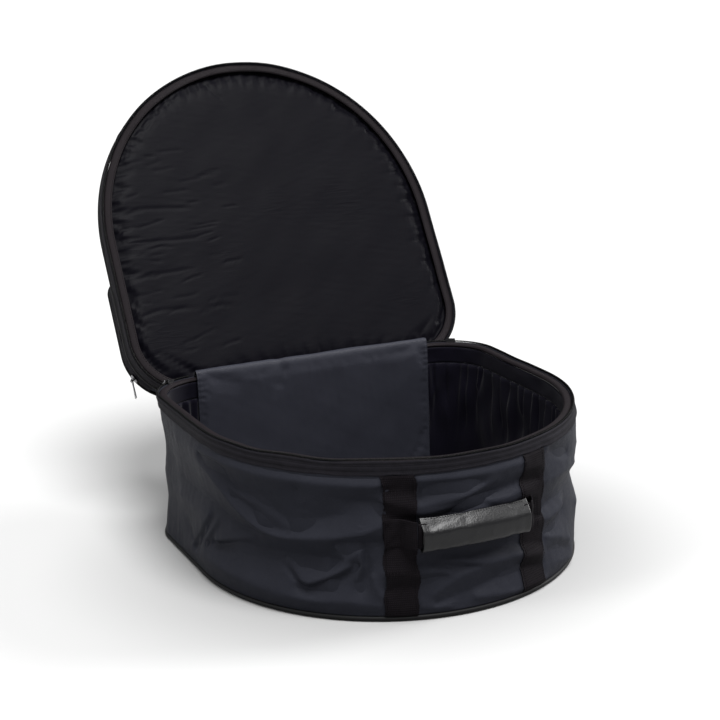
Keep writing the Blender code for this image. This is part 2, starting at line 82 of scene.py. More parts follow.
class Slot(str, Enum):
    """The record's material slots."""

    NYLON = "coated_nylon"
    HINGE = "hinge_cloth"
    SATIN = "satin_lining"
    WEBBING = "webbing"
    TAPE = "zip_tape"
    COIL = "zip_coil"
    BINDING = "binding"
    PIPING = "piping"
    FOAM = "foam"
    LEATHER = "grip_leather"
    METAL = "slider_metal"


class Pattern(Enum):
    """How the surface of a finish is made up."""

    PLAIN_WEAVE = "plain weave"
    SATIN = "satin"
    RIBBED = "ribs along"
    GROSGRAIN = "ribs across"
    TWILL = "twill"
    HIDE = "hide"
    VINYL = "vinyl"
    PORES = "pores"
    NYLON_WIRE = "nylon wire"
    CAST = "cast"


class Held(str, Enum):
    """How a sheet of cloth is held."""

    STRETCHED = "stretched"
    GATHERED = "gathered"


# Shader maths


class Socket:
    """A value in a material that can be used in sums."""

    def __init__(self, kit: "ShaderKit", link: bpy.types.NodeSocket) -> None:
        """Keeps the material's kit and the socket.

        Args:
            link: The output socket that carries the value.
        """
        self.kit = kit
        self.link = link

    def _sum(self, operation: str, first: Input, second: Input) -> "Socket":
        """One Math node."""
        return self.kit.value("ShaderNodeMath", {"operation": operation}, {0: first, 1: second})

    def __add__(self, other: Input) -> "Socket":
        """Adds."""
        return self._sum("ADD", self, other)

    def __radd__(self, other: Input) -> "Socket":
        """Adds, from the right."""
        return self._sum("ADD", other, self)

    def __sub__(self, other: Input) -> "Socket":
        """Subtracts."""
        return self._sum("SUBTRACT", self, other)

    def __rsub__(self, other: Input) -> "Socket":
        """Subtracts, from the right."""
        return self._sum("SUBTRACT", other, self)

    def __mul__(self, other: Input) -> "Socket":
        """Multiplies."""
        return self._sum("MULTIPLY", self, other)

    def __rmul__(self, other: Input) -> "Socket":
        """Multiplies, from the right."""
        return self._sum("MULTIPLY", other, self)

    def __pow__(self, other: Input) -> "Socket":
        """Raises to a power."""
        return self._sum("POWER", self, other)

    def sine(self) -> "Socket":
        """The sine."""
        return self.kit.value("ShaderNodeMath", {"operation": "SINE"}, {0: self})

    def size(self) -> "Socket":
        """The value without its sign."""
        return self.kit.value("ShaderNodeMath", {"operation": "ABSOLUTE"}, {0: self})


Input = Union[Socket, float, int, tuple, Vector]


class ShaderKit:
    """Builds one material out of nodes."""

    def __init__(self, name: str) -> None:
        """Makes an empty material.

        Args:
            name: The material's name.
        """
        self.material = bpy.data.materials.new(name)
        self.material.use_nodes = True
        self.tree = self.material.node_tree
        self.tree.nodes.clear()

    def node(self, kind: str, settings: dict | None = None, inputs: dict | None = None) -> bpy.types.Node:
        """Adds a node.

        Args:
            kind: The node's type.
            settings: Its properties, which are set first.
            inputs: Values or sockets by the input's name or number.

        Returns:
            The node.
        """
        made = self.tree.nodes.new(kind)
        for key, value in (settings or {}).items():
            setattr(made, key, value)
        for key, value in (inputs or {}).items():
            if isinstance(value, Socket):
                self.tree.links.new(value.link, made.inputs[key])
            else:
                made.inputs[key].default_value = value
        return made

    def value(self, kind: str, settings: dict | None = None, inputs: dict | None = None,
              output: int | str = 0) -> Socket:
        """Adds a node and wraps one of its outputs.

        Args:
            kind: The node's type.
            settings: Its properties.
            inputs: Its inputs.
            output: The output to wrap.

        Returns:
            The wrapped output.
        """
        return Socket(self, self.node(kind, settings, inputs).outputs[output])

    def coordinates(self, on_uv: bool) -> Socket:
        """The piece's own UV map, or its object coordinates, in metres."""
        if on_uv:
            return self.value("ShaderNodeUVMap", {"uv_map": "UVMap"})
        return self.value("ShaderNodeTexCoord", output="Object")

    def noise(self, place: Socket, size: float, detail: float = 2.0) -> Socket:
        """Soft noise with features of a size in metres."""
        return self.value("ShaderNodeTexNoise", None, {"Vector": place, "Scale": 1 / size, "Detail": detail})

    def stretched(self, place: Socket, scale: tuple[float, float, float]) -> Socket:
        """The coordinates, scaled on each axis."""
        return self.value("ShaderNodeMapping", None, {"Vector": place, "Scale": scale})

    def blend(self, share: Input, first: Colour, second: Colour) -> Socket:
        """A colour between two."""
        return self.value("ShaderNodeMix", {"data_type": "RGBA"},
                          {0: share, 6: (*first, 1), 7: (*second, 1)}, 2)


@dataclass(frozen=True)
class Finish:
    """A material: its tones, its surface pattern and its gloss.

    Attributes:
        slot: The record's slot.
        base: Colour of the pattern's sunk parts, darker as painted shade in its hollows.
        raised: Colour of the pattern's raised parts, paler as painted light on them.
        pattern: How the surface is made up.
        pitch: Size of the pattern in metres.
        relief: Height of the pattern in metres.
        roughness: Lowest and highest roughness.
        specular: Specular level.
        sheen: Sheen weight.
        metallic: Metallic.
        cloud: Size of the uneven patches, in metres.
        mottle: How much the patches change the tone.
        crinkle: Length and width of fine crinkles, and their height, in metres; no height means none.
    """

    slot: Slot
    base: Colour
    raised: Colour
    pattern: Pattern
    pitch: float
    relief: float
    roughness: tuple[float, float]
    specular: float = 0.3
    sheen: float = 0.0
    metallic: float = 0.0
    cloud: float = 0.045
    mottle: float = 0.35
    crinkle: tuple[float, float, float] = (0.05, 0.012, 0.0)

    @property
    def on_uv(self) -> bool:
        """Whether the pattern follows the piece's own UV map."""
        return self.pattern not in (Pattern.NYLON_WIRE, Pattern.CAST, Pattern.PORES)

    def height(self, kit: ShaderKit, place: Socket) -> Socket:
        """The pattern's height, from 0 to about 1.

        Args:
            kit: The material's kit.
            place: The coordinates.

        Returns:
            The height.
        """
        parts = kit.node("ShaderNodeSeparateXYZ", None, {0: place})
        along, across = (Socket(kit, parts.outputs[i]) for i in (0, 1))
        turn = math.pi / self.pitch
        if self.pattern is Pattern.PLAIN_WEAVE:
            return ((along * turn).sine() * (across * turn).sine()).size()
        if self.pattern is Pattern.SATIN:
            threads = kit.stretched(place, (0.06, 1.0, 1.0))
            return kit.noise(threads, self.pitch, 3.0)
        if self.pattern is Pattern.RIBBED:
            ribs = (along * turn).sine().size()
            return ribs * (0.65 + 0.35 * (across * (turn * 1.7) + ribs * 2.0).sine())
        if self.pattern is Pattern.GROSGRAIN:
            return (along * turn).sine().size()
        if self.pattern is Pattern.TWILL:
            stripe = (across * (turn * 0.42)).sine()
            return 0.45 + 0.2 * ((across + along * 0.8) * (2 * turn)).sine() + 0.45 * stripe ** 3
        if self.pattern is Pattern.HIDE:
            cells = kit.value("ShaderNodeTexVoronoi", {"feature": "SMOOTH_F1"},
                              {"Vector": place, "Scale": 1 / self.pitch, "Smoothness": 0.4})
            return 0.8 * cells + 0.5 * kit.noise(place, self.pitch * 3, 4.0)
        if self.pattern is Pattern.PORES:
            cells = kit.value("ShaderNodeTexVoronoi", {"feature": "F1"},
                              {"Vector": place, "Scale": 1 / self.pitch})
            return cells ** 0.5
        return kit.noise(place, self.pitch, 4.0)

    def creased(self, kit: ShaderKit, place: Socket, normal: Socket) -> Socket:
        """Adds fine crinkles, in patches, to the surface's direction.

        Args:
            kit: The material's kit.
            place: The coordinates.
            normal: The surface's direction so far.

        Returns:
            The direction with the crinkles.
        """
        long, wide, height = self.crinkle
        laid = kit.stretched(place, (wide / long, 1.0, 1.0))
        lines = 1 - (kit.noise(laid, wide, 1.5) * 2 - 1).size()
        patch = kit.value("ShaderNodeMapRange", {"interpolation_type": "SMOOTHSTEP"},
                          {"Value": kit.noise(place, long * 1.4, 1.0), "From Min": 0.55, "From Max": 0.70})
        return kit.value("ShaderNodeBump", None, {"Height": lines ** 5 * patch, "Distance": height,
                                                  "Normal": normal}, "Normal")

    def material(self) -> bpy.types.Material:
        """Builds the material."""
        kit = ShaderKit(self.slot.value + "_finish")
        place = kit.coordinates(self.on_uv)
        relief = self.height(kit, place)
        patches = kit.noise(place, self.cloud, 3.0)
        dust = kit.noise(place, self.pitch * 2.7, 2.0)
        # Painted shade: the colour runs from base in the pattern's hollows to raised on its high parts;
        # patches and specks add uneven tone.
        tone = relief * 0.55 + (patches - 0.5) * self.mottle + dust * 0.35
        colour = kit.blend(tone, self.base, self.raised)
        low, high = self.roughness
        rough = low + (high - low) * (0.6 * patches + 0.4 * dust)
        bump = kit.value("ShaderNodeBump", None, {"Height": relief + dust * 0.3, "Distance": self.relief,
                                                  "Strength": 1.0}, "Normal")
        if self.crinkle[2]:
            bump = self.creased(kit, place, bump)
        shader = kit.node("ShaderNodeBsdfPrincipled", None, {
            "Base Color": colour, "Roughness": rough, "Metallic": self.metallic, "Normal": bump,
            "Specular IOR Level": self.specular, "Sheen Weight": self.sheen, "Sheen Roughness": 0.45,
        })
        out = kit.node("ShaderNodeOutputMaterial")
        kit.tree.links.new(shader.outputs[0], out.inputs["Surface"])
        return kit.material


def finishes() -> dict[Slot, Finish]:
    """Every finish of the bag, by slot."""
    listed = (
        Finish(Slot.NYLON, (0.0076, 0.0080, 0.0108), (0.0198, 0.0208, 0.0276), Pattern.PLAIN_WEAVE, 0.0009,
               0.00012, (0.40, 0.58), specular=0.03, crinkle=(0.022, 0.010, 0.00030)),
        Finish(Slot.HINGE, (0.0120, 0.0124, 0.0172), (0.0270, 0.0282, 0.0375), Pattern.PLAIN_WEAVE, 0.0007,
               0.00008, (0.42, 0.58), specular=0.10),
        Finish(Slot.SATIN, (0.0008, 0.0007, 0.0015), (0.0021, 0.0019, 0.0036), Pattern.SATIN, 0.0011,
               0.00008, (0.38, 0.50), specular=0.026, sheen=0.020, mottle=0.2,
               crinkle=(0.060, 0.0080, 0.00010)),
        Finish(Slot.WEBBING, (0.0017, 0.0013, 0.0017), (0.0070, 0.0057, 0.0072), Pattern.RIBBED, 0.0022,
               0.00040, (0.62, 0.85), specular=0.04),
        Finish(Slot.TAPE, (0.0026, 0.0024, 0.0032), (0.0146, 0.0136, 0.0172), Pattern.TWILL, 0.0016,
               0.00022, (0.60, 0.82), specular=0.05, cloud=0.012, mottle=0.5),
        Finish(Slot.COIL, (0.0010, 0.0010, 0.0011), (0.0024, 0.0024, 0.0026), Pattern.NYLON_WIRE, 0.0015,
               0.00003, (0.34, 0.48), specular=0.10, cloud=0.02),
        Finish(Slot.BINDING, (0.0033, 0.0026, 0.0032), (0.0116, 0.0092, 0.0108), Pattern.GROSGRAIN, 0.0013,
               0.00022, (0.55, 0.75), specular=0.06, cloud=0.015, mottle=0.45),
        Finish(Slot.PIPING, (0.0022, 0.0022, 0.0024), (0.0050, 0.0050, 0.0054), Pattern.VINYL, 0.0022,
               0.00006, (0.50, 0.66), specular=0.12),
        Finish(Slot.FOAM, (0.060, 0.060, 0.062), (0.130, 0.130, 0.130), Pattern.PORES, 0.0012,
               0.00040, (0.85, 0.98), specular=0.1),
        Finish(Slot.LEATHER, (0.0012, 0.0012, 0.0015), (0.0036, 0.0036, 0.0043), Pattern.HIDE, 0.0018,
               0.00016, (0.30, 0.40), specular=0.28, cloud=0.02),
        Finish(Slot.METAL, (0.10, 0.10, 0.105), (0.26, 0.26, 0.27), Pattern.CAST, 0.0016,
               0.00004, (0.22, 0.42), specular=0.5, metallic=1.0, cloud=0.006),
    )
    return {each.slot: each for each in listed}


class Wardrobe:
    """Makes each finish's material once, the first time that a piece asks for it."""

    def __init__(self) -> None:
        """Lists the finishes."""
        self.listed = finishes()
        self.made: dict[tuple[Slot, float], bpy.types.Material] = {}

    def material(self, slot: Slot, painted_light_gain: float = 1.0) -> bpy.types.Material:
        """The material of a slot.

        Args:
            slot: The finish.
            painted_light_gain: How many times paler than listed it is, as painted light where the piece gets
                too little light.

        Returns:
            The material.
        """
        if (slot, painted_light_gain) not in self.made:
            plain = self.listed[slot]
            # Painted light: a paler copy of the finish, its colours and sheen scaled up, stands in for light
            # that the place lacks.
            base, raised = (tuple(painted_light_gain * part for part in tone) for tone in (plain.base, plain.raised))
            finish = replace(plain, base=base, raised=raised, sheen=painted_light_gain * plain.sheen)
            self.made[slot, painted_light_gain] = finish.material()
        return self.made[slot, painted_light_gain]


WARDROBE = Wardrobe()


# Shape tools


def ease(x: Array | float) -> Array:
    """A smooth step from 0 to 1."""
    t = np.clip(x, 0.0, 1.0)
    return t * t * (3 - 2 * t)


def between(x: Array | float, low: float, high: float, rise: float, fall: float) -> Array:
    """A weight that eases in from 0 above the low limit and out to 0 below the high one."""
    return ease((x - low) / rise) * ease((high - x) / fall)


def level(height: float) -> Face:
    """A flat face at a height."""
    return lambda x, y: np.full_like(x, height)


def ring_shares(count: int, crowding: float) -> Array:
    """Rings of a disc as shares of its radius, the closer together the nearer they are to its edge."""
    return 1 - (1 - np.linspace(0, 1, count + 1)[1:]) ** crowding


def soft_limit(x: Array, inward: float, outward: float) -> Array:
    """Holds a lift between two limits: it's left as it is up to 0.6 of them, and bends off beyond."""
    limit = np.where(x < 0, inward, outward)
    over = np.maximum(np.abs(x) / limit - 0.6, 0) / 0.4
    return np.where(over > 0, np.sign(x) * limit * (0.6 + 0.4 * np.tanh(over)), x)


@dataclass(frozen=True)
class Ripple:
    """Uneven waves in space, from a fixed seed.

    Attributes:
        seed: The seed.
        longest: Longest wave in metres.
        shortest: Shortest wave in metres.
        squeeze: How much closer the waves lie on each axis.
        waves: How many waves are added up.
    """

    seed: int
    longest: float
    shortest: float
    squeeze: tuple[float, float, float] = (1.0, 1.0, 1.0)
    waves: int = 18

    def at(self, places: Array) -> Array:
        """The waves' height at points, about -1 to 1.

        Args:
            places: Points, with their coordinates on the last axis.

        Returns:
            One height for each point.
        """
        rng = np.random.default_rng(self.seed)
        total = np.zeros(places.shape[:-1])
        scaled = places * np.array(self.squeeze)
        for _ in range(self.waves):
            length = math.exp(rng.uniform(math.log(self.shortest), math.log(self.longest)))
            direction = rng.normal(size=3)
            direction /= np.linalg.norm(direction)
            total += np.sin(scaled @ direction * (FULL_TURN / length) + rng.uniform(0, FULL_TURN))
        return total / math.sqrt(self.waves)

    def over(self, x: Array, y: Array) -> Array:
        """The waves' height at points of a flat sheet."""
        return self.at(np.stack((x, y, np.zeros_like(x)), axis=-1))


@dataclass(frozen=True)
class Puff:
    """A broad, soft bulge or hollow.

    Attributes:
        place: Its middle, in the sheet's own two coordinates.
        size: Its reach along both.
        rise: Its height in metres.
    """

    place: tuple[float, float]
    size: tuple[float, float]
    rise: float

    def lift(self, u: Array, v: Array) -> Array:
        """The bulge's height at points of the sheet."""
        away = ((u - self.place[0]) / self.size[0]) ** 2 + ((v - self.place[1]) / self.size[1]) ** 2
        return self.rise * np.exp(-away)


@dataclass(frozen=True)
class Crease:
    """A fold along a line, with a sharp crest and slopes of their own on both sides.

    Attributes:
        points: The line, in the sheet's own two coordinates.
        rise: Height of its crest in metres; negative folds go in.
        above: Reach of the slope on the left of the line.
        below: Reach of the slope on the right of the line.
        crest: Radius of the crest.
    """

    points: tuple[tuple[float, float], ...]
    rise: float
    above: float
    below: float
    crest: float = 0.0009

    def lift(self, u: Array, v: Array) -> Array:
        """The fold's height at points of the sheet.

        Args:
            u: First coordinate.
            v: Second coordinate.

        Returns:
            The height in metres.
        """
        nearest = np.full(np.broadcast(u, v).shape, np.inf)
        side = np.zeros_like(nearest)
        along = np.zeros_like(nearest)
        line = np.array(self.points)
        lengths = np.linalg.norm(np.diff(line, axis=0), axis=1)
        done = np.concatenate(([0.0], np.cumsum(lengths)))
        for i, (start, length) in enumerate(zip(line[:-1], lengths)):
            step = (line[i + 1] - start) / length
            du, dv = u - start[0], v - start[1]
            t = np.clip(du * step[0] + dv * step[1], 0, length)
            away = np.hypot(du - t * step[0], dv - t * step[1])
            closer = away < nearest
            side = np.where(closer, step[0] * dv - step[1] * du, side)
            along = np.where(closer, (done[i] + t) / done[-1], along)
            nearest = np.minimum(nearest, away)
        reach = np.where(side > 0, self.above, self.below)
        away = np.sqrt(nearest ** 2 + self.crest ** 2) - self.crest
        slope = np.clip(1 - away / (2.0 * reach), 0, 1) ** 1.15
        fade = 0.25 + 0.75 * between(along, 0, 1, 0.2, 0.2)
        return self.rise * slope * fade


def mouth_wave(u: Array, length: float) -> Array:
    """How far the bag's rim and the lid's edge rise and fall together, still at the zip's ends.

    Args:
        u: Distances along the outline from the middle of the front.
        length: The outline's length.

    Returns:
        The rise in metres.
    """
    share = u / length
    radius = 0.262
    wave = Ripple(7, 0.19, 0.055).over(radius * np.cos(share * FULL_TURN), radius * np.sin(share * FULL_TURN))
    return 0.00075 * wave * ease((0.32 - np.abs(share)) / 0.06)


class Track:
    """A line seen from above, with places and outward directions by the distance along it."""

    def __init__(self, points: Array, closed: bool) -> None:
        """Measures the line.

        Args:
            points: Its points; a closed line starts at the middle of its back.
            closed: Whether its ends meet.
        """
        ring = np.vstack((points, points[:1])) if closed else points
        steps = np.linalg.norm(np.diff(ring, axis=0), axis=1)
        self.length = float(steps.sum())
        self.closed = closed
        self.u = np.concatenate(([0.0], np.cumsum(steps))) - self.length / 2
        self.ring = ring
        if closed:
            after = np.vstack((ring[1:], ring[1:2]))
            before = np.vstack((ring[-2:-1], ring[:-1]))
            tangent = after - before
        else:
            tangent = np.gradient(ring, axis=0)
        tangent /= np.linalg.norm(tangent, axis=1, keepdims=True)
        self.outward = np.stack((tangent[:, 1], -tangent[:, 0]), axis=1)

    def at(self, u: Array, offset: Array | float) -> tuple[Array, Array]:
        """Places at distances along the line and off it.

        Args:
            u: Distances from the middle of the line.
            offset: Distances outward.

        Returns:
            Their X and Y.
        """
        if self.closed:
            u = (u + self.length / 2) % self.length - self.length / 2
        x, y, nx, ny = (np.interp(u, self.u, column) for column in
                        (self.ring[:, 0], self.ring[:, 1], self.outward[:, 0], self.outward[:, 1]))
        norm = np.hypot(nx, ny)
        return x + nx / norm * offset, y + ny / norm * offset

    def points(self, u: Array, offset: Array | float, z: Array | float) -> Array:
        """Points in space at distances along the line and off it, at heights."""
        x, y = self.at(u, offset)
        return np.stack((x, y, np.broadcast_to(z, x.shape)), axis=-1)

    def nearest(self, x: Array, y: Array) -> tuple[Array, Array]:
        """How far along and how far inside the line points lie.

        Args:
            x: Their X.
            y: Their Y.

        Returns:
            Distances along, and distances inward.
        """
        fine = np.linspace(self.u[0], self.u[-1], 900, endpoint=not self.closed)
        line = np.stack(self.at(fine, 0.0), axis=1)
        flat = np.stack((x.ravel(), y.ravel()), axis=1)
        found = np.empty(len(flat), int)
        for start in range(0, len(flat), 4000):
            part = flat[start:start + 4000]
            found[start:start + 4000] = ((part[:, None] - line[None]) ** 2).sum(2).argmin(1)
        inward = np.linalg.norm(flat - line[found], axis=1)
        return fine[found].reshape(x.shape), inward.reshape(x.shape)


def arc_points(centre: tuple[float, float], radii: tuple[float, float], start: float, end: float,
               count: int) -> Array:
    """Points on an arc or a stretch of an ellipse, without its last point, in degrees."""
    angles = np.radians(np.linspace(start, end, count, endpoint=False))
    return np.stack((centre[0] + radii[0] * np.cos(angles), centre[1] + radii[1] * np.sin(angles)), axis=1)


def straight_points(start: tuple[float, float], end: tuple[float, float], count: int) -> Array:
    """Points on a straight line, without its last point."""
    share = np.linspace(0, 1, count, endpoint=False)[:, None]
    return np.array(start) * (1 - share) + np.array(end) * share


def d_track(half_width: float, front_depth: float, side_run: float, radius: float, grow: float = 0.0) -> Track:
    """The bag's D outline, starting at the middle of its back and going left.

    Args:
        half_width: Half its width.
        front_depth: How far its round front reaches.
        side_run: Where its straight sides end.
        radius: Radius of its back corners.
        grow: How far it is moved outward.

    Returns:
        The outline.
    """
    corner = half_width - radius
    back = side_run + radius + grow
    turn = (radius + grow,) * 2
    front = (half_width + grow, front_depth + grow)
    return Track(np.vstack((
        straight_points((0, back), (-corner, back), 90),
        arc_points((-corner, side_run), turn, 90, 180, 90),
        straight_points((-half_width - grow, side_run), (-half_width - grow, 0), 90),
        arc_points((0, 0), front, 180, 360, 500),
        straight_points((half_width + grow, 0), (half_width + grow, side_run), 90),
        arc_points((corner, side_run), turn, 0, 90, 90),
        straight_points((corner, back), (0, back), 90),
    )), True)


def pocket_track(half_width: float, front: float, back: float, back_radius: float,
                 front_radius: float) -> Track:
    """The pocket's rounded rectangle, starting at the middle of its back and going left.

    Args:
        half_width: Half its width.
        front: Y of its front edge.
        back: Y of its back edge.
        back_radius: Radius of its back corners.
        front_radius: Radius of its front corners.

    Returns:
        The outline.
    """
    bx, by = half_width - back_radius, back - back_radius
    fx, fy = half_width - front_radius, front + front_radius
    return Track(np.vstack((
        straight_points((0, back), (-bx, back), 90),
        arc_points((-bx, by), (back_radius,) * 2, 90, 180, 80),
        straight_points((-half_width, by), (-half_width, fy), 60),
        arc_points((-fx, fy), (front_radius,) * 2, 180, 270, 40),
        straight_points((-fx, front), (fx, front), 200),
        arc_points((fx, fy), (front_radius,) * 2, 270, 360, 40),
        straight_points((half_width, fy), (half_width, by), 60),
        arc_points((bx, by), (back_radius,) * 2, 0, 90, 80),
        straight_points((bx, back), (0, back), 90),
    )), True)


def rounded_line(points: Sequence[tuple[float, float]]) -> Array:
    """A line with its corners cut round, three times over.

    Args:
        points: The line.

    Returns:
        The smooth line.
    """
    line = np.array(points, float)
    for _ in range(3):
        cut = np.empty((2 * len(line), 2))
        cut[0], cut[-1] = line[0], line[-1]
        cut[1:-1:2] = line[:-1] * 0.75 + line[1:] * 0.25
        cut[2::2] = line[:-1] * 0.25 + line[1:] * 0.75
        line = cut
    return line


def resample(line: Array, count: int) -> Array:
    """The same line in evenly spaced points."""
    steps = np.linalg.norm(np.diff(line, axis=0), axis=1)
    done = np.concatenate(([0.0], np.cumsum(steps)))
    wanted = np.linspace(0, done[-1], count)
    return np.stack([np.interp(wanted, done, line[:, i]) for i in range(line.shape[1])], axis=1)


def section(outer: float, inner: float, low: float, high: float, rows: int, soft: float = 0.0004,
            inner_rows: int = 0) -> Array:
    """A band's cross section: up its outside, over its top and down its inside.

    Args:
        outer: Offset of its outside.
        inner: Offset of its inside.
        low: Its lowest height.
        high: Its highest height.
        rows: Steps up each side.
        soft: Rounding of its edges.
        inner_rows: Steps down the inside, if they are others.

    Returns:
        Offsets and heights; the point before each one's mirror image stands opposite to it.
    """
    soft = min(soft, (outer - inner) * 0.4, (high - low) * 0.4)
    heights = np.linspace(low + soft, high - soft, rows + 1)
    outside = [(outer - soft, low)] + [(outer, z) for z in heights] + [(outer - soft, high)]
    down = np.linspace(high - soft, low + soft, (inner_rows or rows) + 1)
    inside = [(inner + soft, high)] + [(inner, z) for z in down] + [(inner + soft, low)]
    return np.array(outside + inside)


def mesh_from(name: str, points: Array, faces: list, uvs: Array) -> bpy.types.Object:
    """A smooth object with its faces outward.

    Args:
        name: Its name.
        points: Its points.
        faces: Its faces.
        uvs: UV of each face corner, in metres.

    Returns:
        The object, in the scene.
    """
    mesh = bpy.data.meshes.new(name)
    mesh.from_pydata(points.tolist(), [], faces)
    layer = mesh.uv_layers.new(name="UVMap")
    layer.data.foreach_set("uv", uvs.astype(np.float32).ravel())
    mesh.shade_smooth()
    obj = bpy.data.objects.new(name, mesh)
    bpy.context.scene.collection.objects.link(obj)
    if volume(mesh) < 0:
        mesh.flip_normals()
    return obj


def volume(mesh: bpy.types.Mesh) -> float:
    """Signed volume of a closed mesh."""
    mesh.calc_loop_triangles()
    corners = np.empty(len(mesh.loop_triangles) * 3, np.int32)
    mesh.loop_triangles.foreach_get("vertices", corners)
    a, b, c = point_array(mesh)[corners.reshape(-1, 3)].transpose(1, 0, 2)
    return float((a * np.cross(b, c)).sum()) / 6


def point_array(mesh: bpy.types.Mesh) -> Array:
    """A mesh's points."""
    co = np.empty(len(mesh.vertices) * 3)
    mesh.vertices.foreach_get("co", co)
    return co.reshape(-1, 3)


def loft(name: str, grid: Array, uv: Array, ring: bool) -> bpy.types.Object:
    """A closed skin over a grid of sections.

    Args:
        name: The object's name.
        grid: Points by section, and round each section.
        uv: UV by section and round it, with one more each way than the points have.
        ring: Whether the last section joins the first.

    Returns:
        The object.
    """
    count, around = grid.shape[:2]
    spans = count if ring else count - 1
    i, j = np.meshgrid(np.arange(spans), np.arange(around), indexing="ij")
    i, j = i.ravel(), j.ravel()
    i2, j2 = (i + 1) % count, (j + 1) % around
    quads = np.stack((i * around + j, i2 * around + j, i2 * around + j2, i * around + j2), axis=1)
    corner_uv = np.stack((uv[i, j], uv[i + 1, j], uv[i + 1, j + 1], uv[i, j + 1]), axis=1).reshape(-1, 2)
    faces = quads.tolist()
    if not ring:
        half = around // 2
        ends = []
        for end, flip in ((0, False), (count - 1, True)):
            for k in range(half - 1):
                loop = [k, k + 1, around - 2 - k, around - 1 - k]
                loop = loop[::-1] if not flip else loop
                faces.append([end * around + m for m in loop])
                ends.append(uv[end, loop])
        corner_uv = np.vstack((corner_uv, np.array(ends).reshape(-1, 2)))
    return mesh_from(name, grid.reshape(-1, 3), faces, corner_uv)


def band(name: str, track: Track, u: Array, profile: Array, shape: Shape | None = None,
         ring: bool = False, upright: bool = False) -> bpy.types.Object:
    """A band of cloth along a track.

    Args:
        name: The object's name.
        track: The track.
        u: Distances along it of the sections.
        profile: The cross section's offsets and heights.
        shape: Moves points, from their distance along, offset and height.
        ring: Whether the band runs all round.
        upright: Whether the cloth's threads run up the band.

    Returns:
        The object.
    """
    along = np.repeat(u[:, None], len(profile), axis=1)
    offset = np.repeat(profile[None, :, 0], len(u), axis=0)
    height = np.repeat(profile[None, :, 1], len(u), axis=0)
    if shape:
        along, offset, height = shape(along, offset, height)
    x, y = track.at(along, offset)
    grid = np.stack((x, y, height), axis=2)
    steps = np.linalg.norm(np.diff(np.vstack((profile, profile[:1])), axis=0), axis=1)
    around = np.concatenate(([0.0], np.cumsum(steps)))
    distance = np.append(u, u[0] + track.length) if ring else np.append(u, u[-1])
    uv = np.stack(np.meshgrid(distance, around, indexing="ij"), axis=2)
    return loft(name, grid, uv[..., ::-1] if upright else uv, ring)


def all_round(track: Track, count: int) -> Array:
    """Evenly spaced distances right round a closed track."""
    return np.linspace(-track.length / 2, track.length / 2, count, endpoint=False)


def disc(name: str, track: Track, inset: float, low: Face, high: Face, around: int,
         shares: Array) -> bpy.types.Object:
    """A sheet or pad that fills a track.

    Args:
        name: The object's name.
        track: The track.
        inset: How far its edge stays inside the track.
        low: Height of its underside by X and Y.
        high: Height of its upper side by X and Y.
        around: Points round the edge.
        shares: Rings from the middle, above 0 and up to 1.

    Returns:
        The object, with its UV laid flat in metres.
    """
    x, y = track.at(all_round(track, around), -inset)
    middle = (y.max() + y.min()) / 2
    ring_x = x * shares[:, None]
    ring_y = middle + (y - middle) * shares[:, None]
    sides = [np.stack((ring_x, ring_y, face(ring_x, ring_y)), axis=2).reshape(-1, 3) for face in (high, low)]
    hubs = [(0.0, middle, float(face(np.zeros(1), np.array([middle]))[0])) for face in (high, low)]
    points = np.vstack((*sides, hubs))
    rings, total = len(shares), len(sides[0])
    k, m = np.meshgrid(np.arange(rings - 1) * around, np.arange(around), indexing="ij")
    k, m = k.ravel(), m.ravel()
    m2 = (m + 1) % around
    top = np.stack((k + m, k + m2, k + around + m2, k + around + m), axis=1)
    faces = top[:, ::-1].tolist() + (top + total).tolist()
    edge = np.arange(around)
    edge2 = (edge + 1) % around
    outer = (rings - 1) * around
    for ring in ((outer + edge2, outer + edge, total + outer + edge, total + outer + edge2),
                 (edge2, edge, np.full(around, 2 * total)),
                 (total + edge, total + edge2, np.full(around, 2 * total + 1))):
        faces += np.stack(ring, 1)[:, ::-1].tolist()
    corners = np.concatenate([np.array(f) for f in faces])
    return mesh_from(name, points, faces, points[corners, :2])


def tube(name: str, line: Array, radius: float, sides: int, closed: bool) -> bpy.types.Object:
    """A round cord along a line of points in space.

    Args:
        name: The object's name.
        line: The points.
        radius: The cord's radius.
        sides: Facets round it, an even number.
        closed: Whether it runs all round.

    Returns:
        The object.
    """
    if closed:
        tangent = np.roll(line, -1, axis=0) - np.roll(line, 1, axis=0)
    else:
        tangent = np.gradient(line, axis=0)
    tangent /= np.linalg.norm(tangent, axis=1, keepdims=True)
    up = np.array((0.0, 0.0, 1.0)) if abs(tangent[:, 2]).max() < 0.9 else np.array((1.0, 0.0, 0.0))
    side = np.cross(tangent, up)
    side /= np.linalg.norm(side, axis=1, keepdims=True)
    top = np.cross(side, tangent)
    angles = (np.arange(sides) + 0.5) * FULL_TURN / sides
    grid = (line[:, None] + radius * (np.cos(angles)[None, :, None] * side[:, None]
                                      + np.sin(angles)[None, :, None] * top[:, None]))
    steps = np.linalg.norm(np.diff(line, axis=0), axis=1)
    run = np.concatenate(([0.0], np.cumsum(steps), [steps.sum() + steps[-1]]))
    uv = np.stack(np.meshgrid(run, np.arange(sides + 1) * radius * FULL_TURN / sides, indexing="ij"), axis=2)
    return loft(name, grid, uv, closed)


def opened(obj: bpy.types.Object, turn: Matrix) -> bpy.types.Object:
    """Turns a piece's mesh with the lid."""
    obj.data.transform(turn)
    obj.data.update()
    return obj


# Pieces and how they are kept


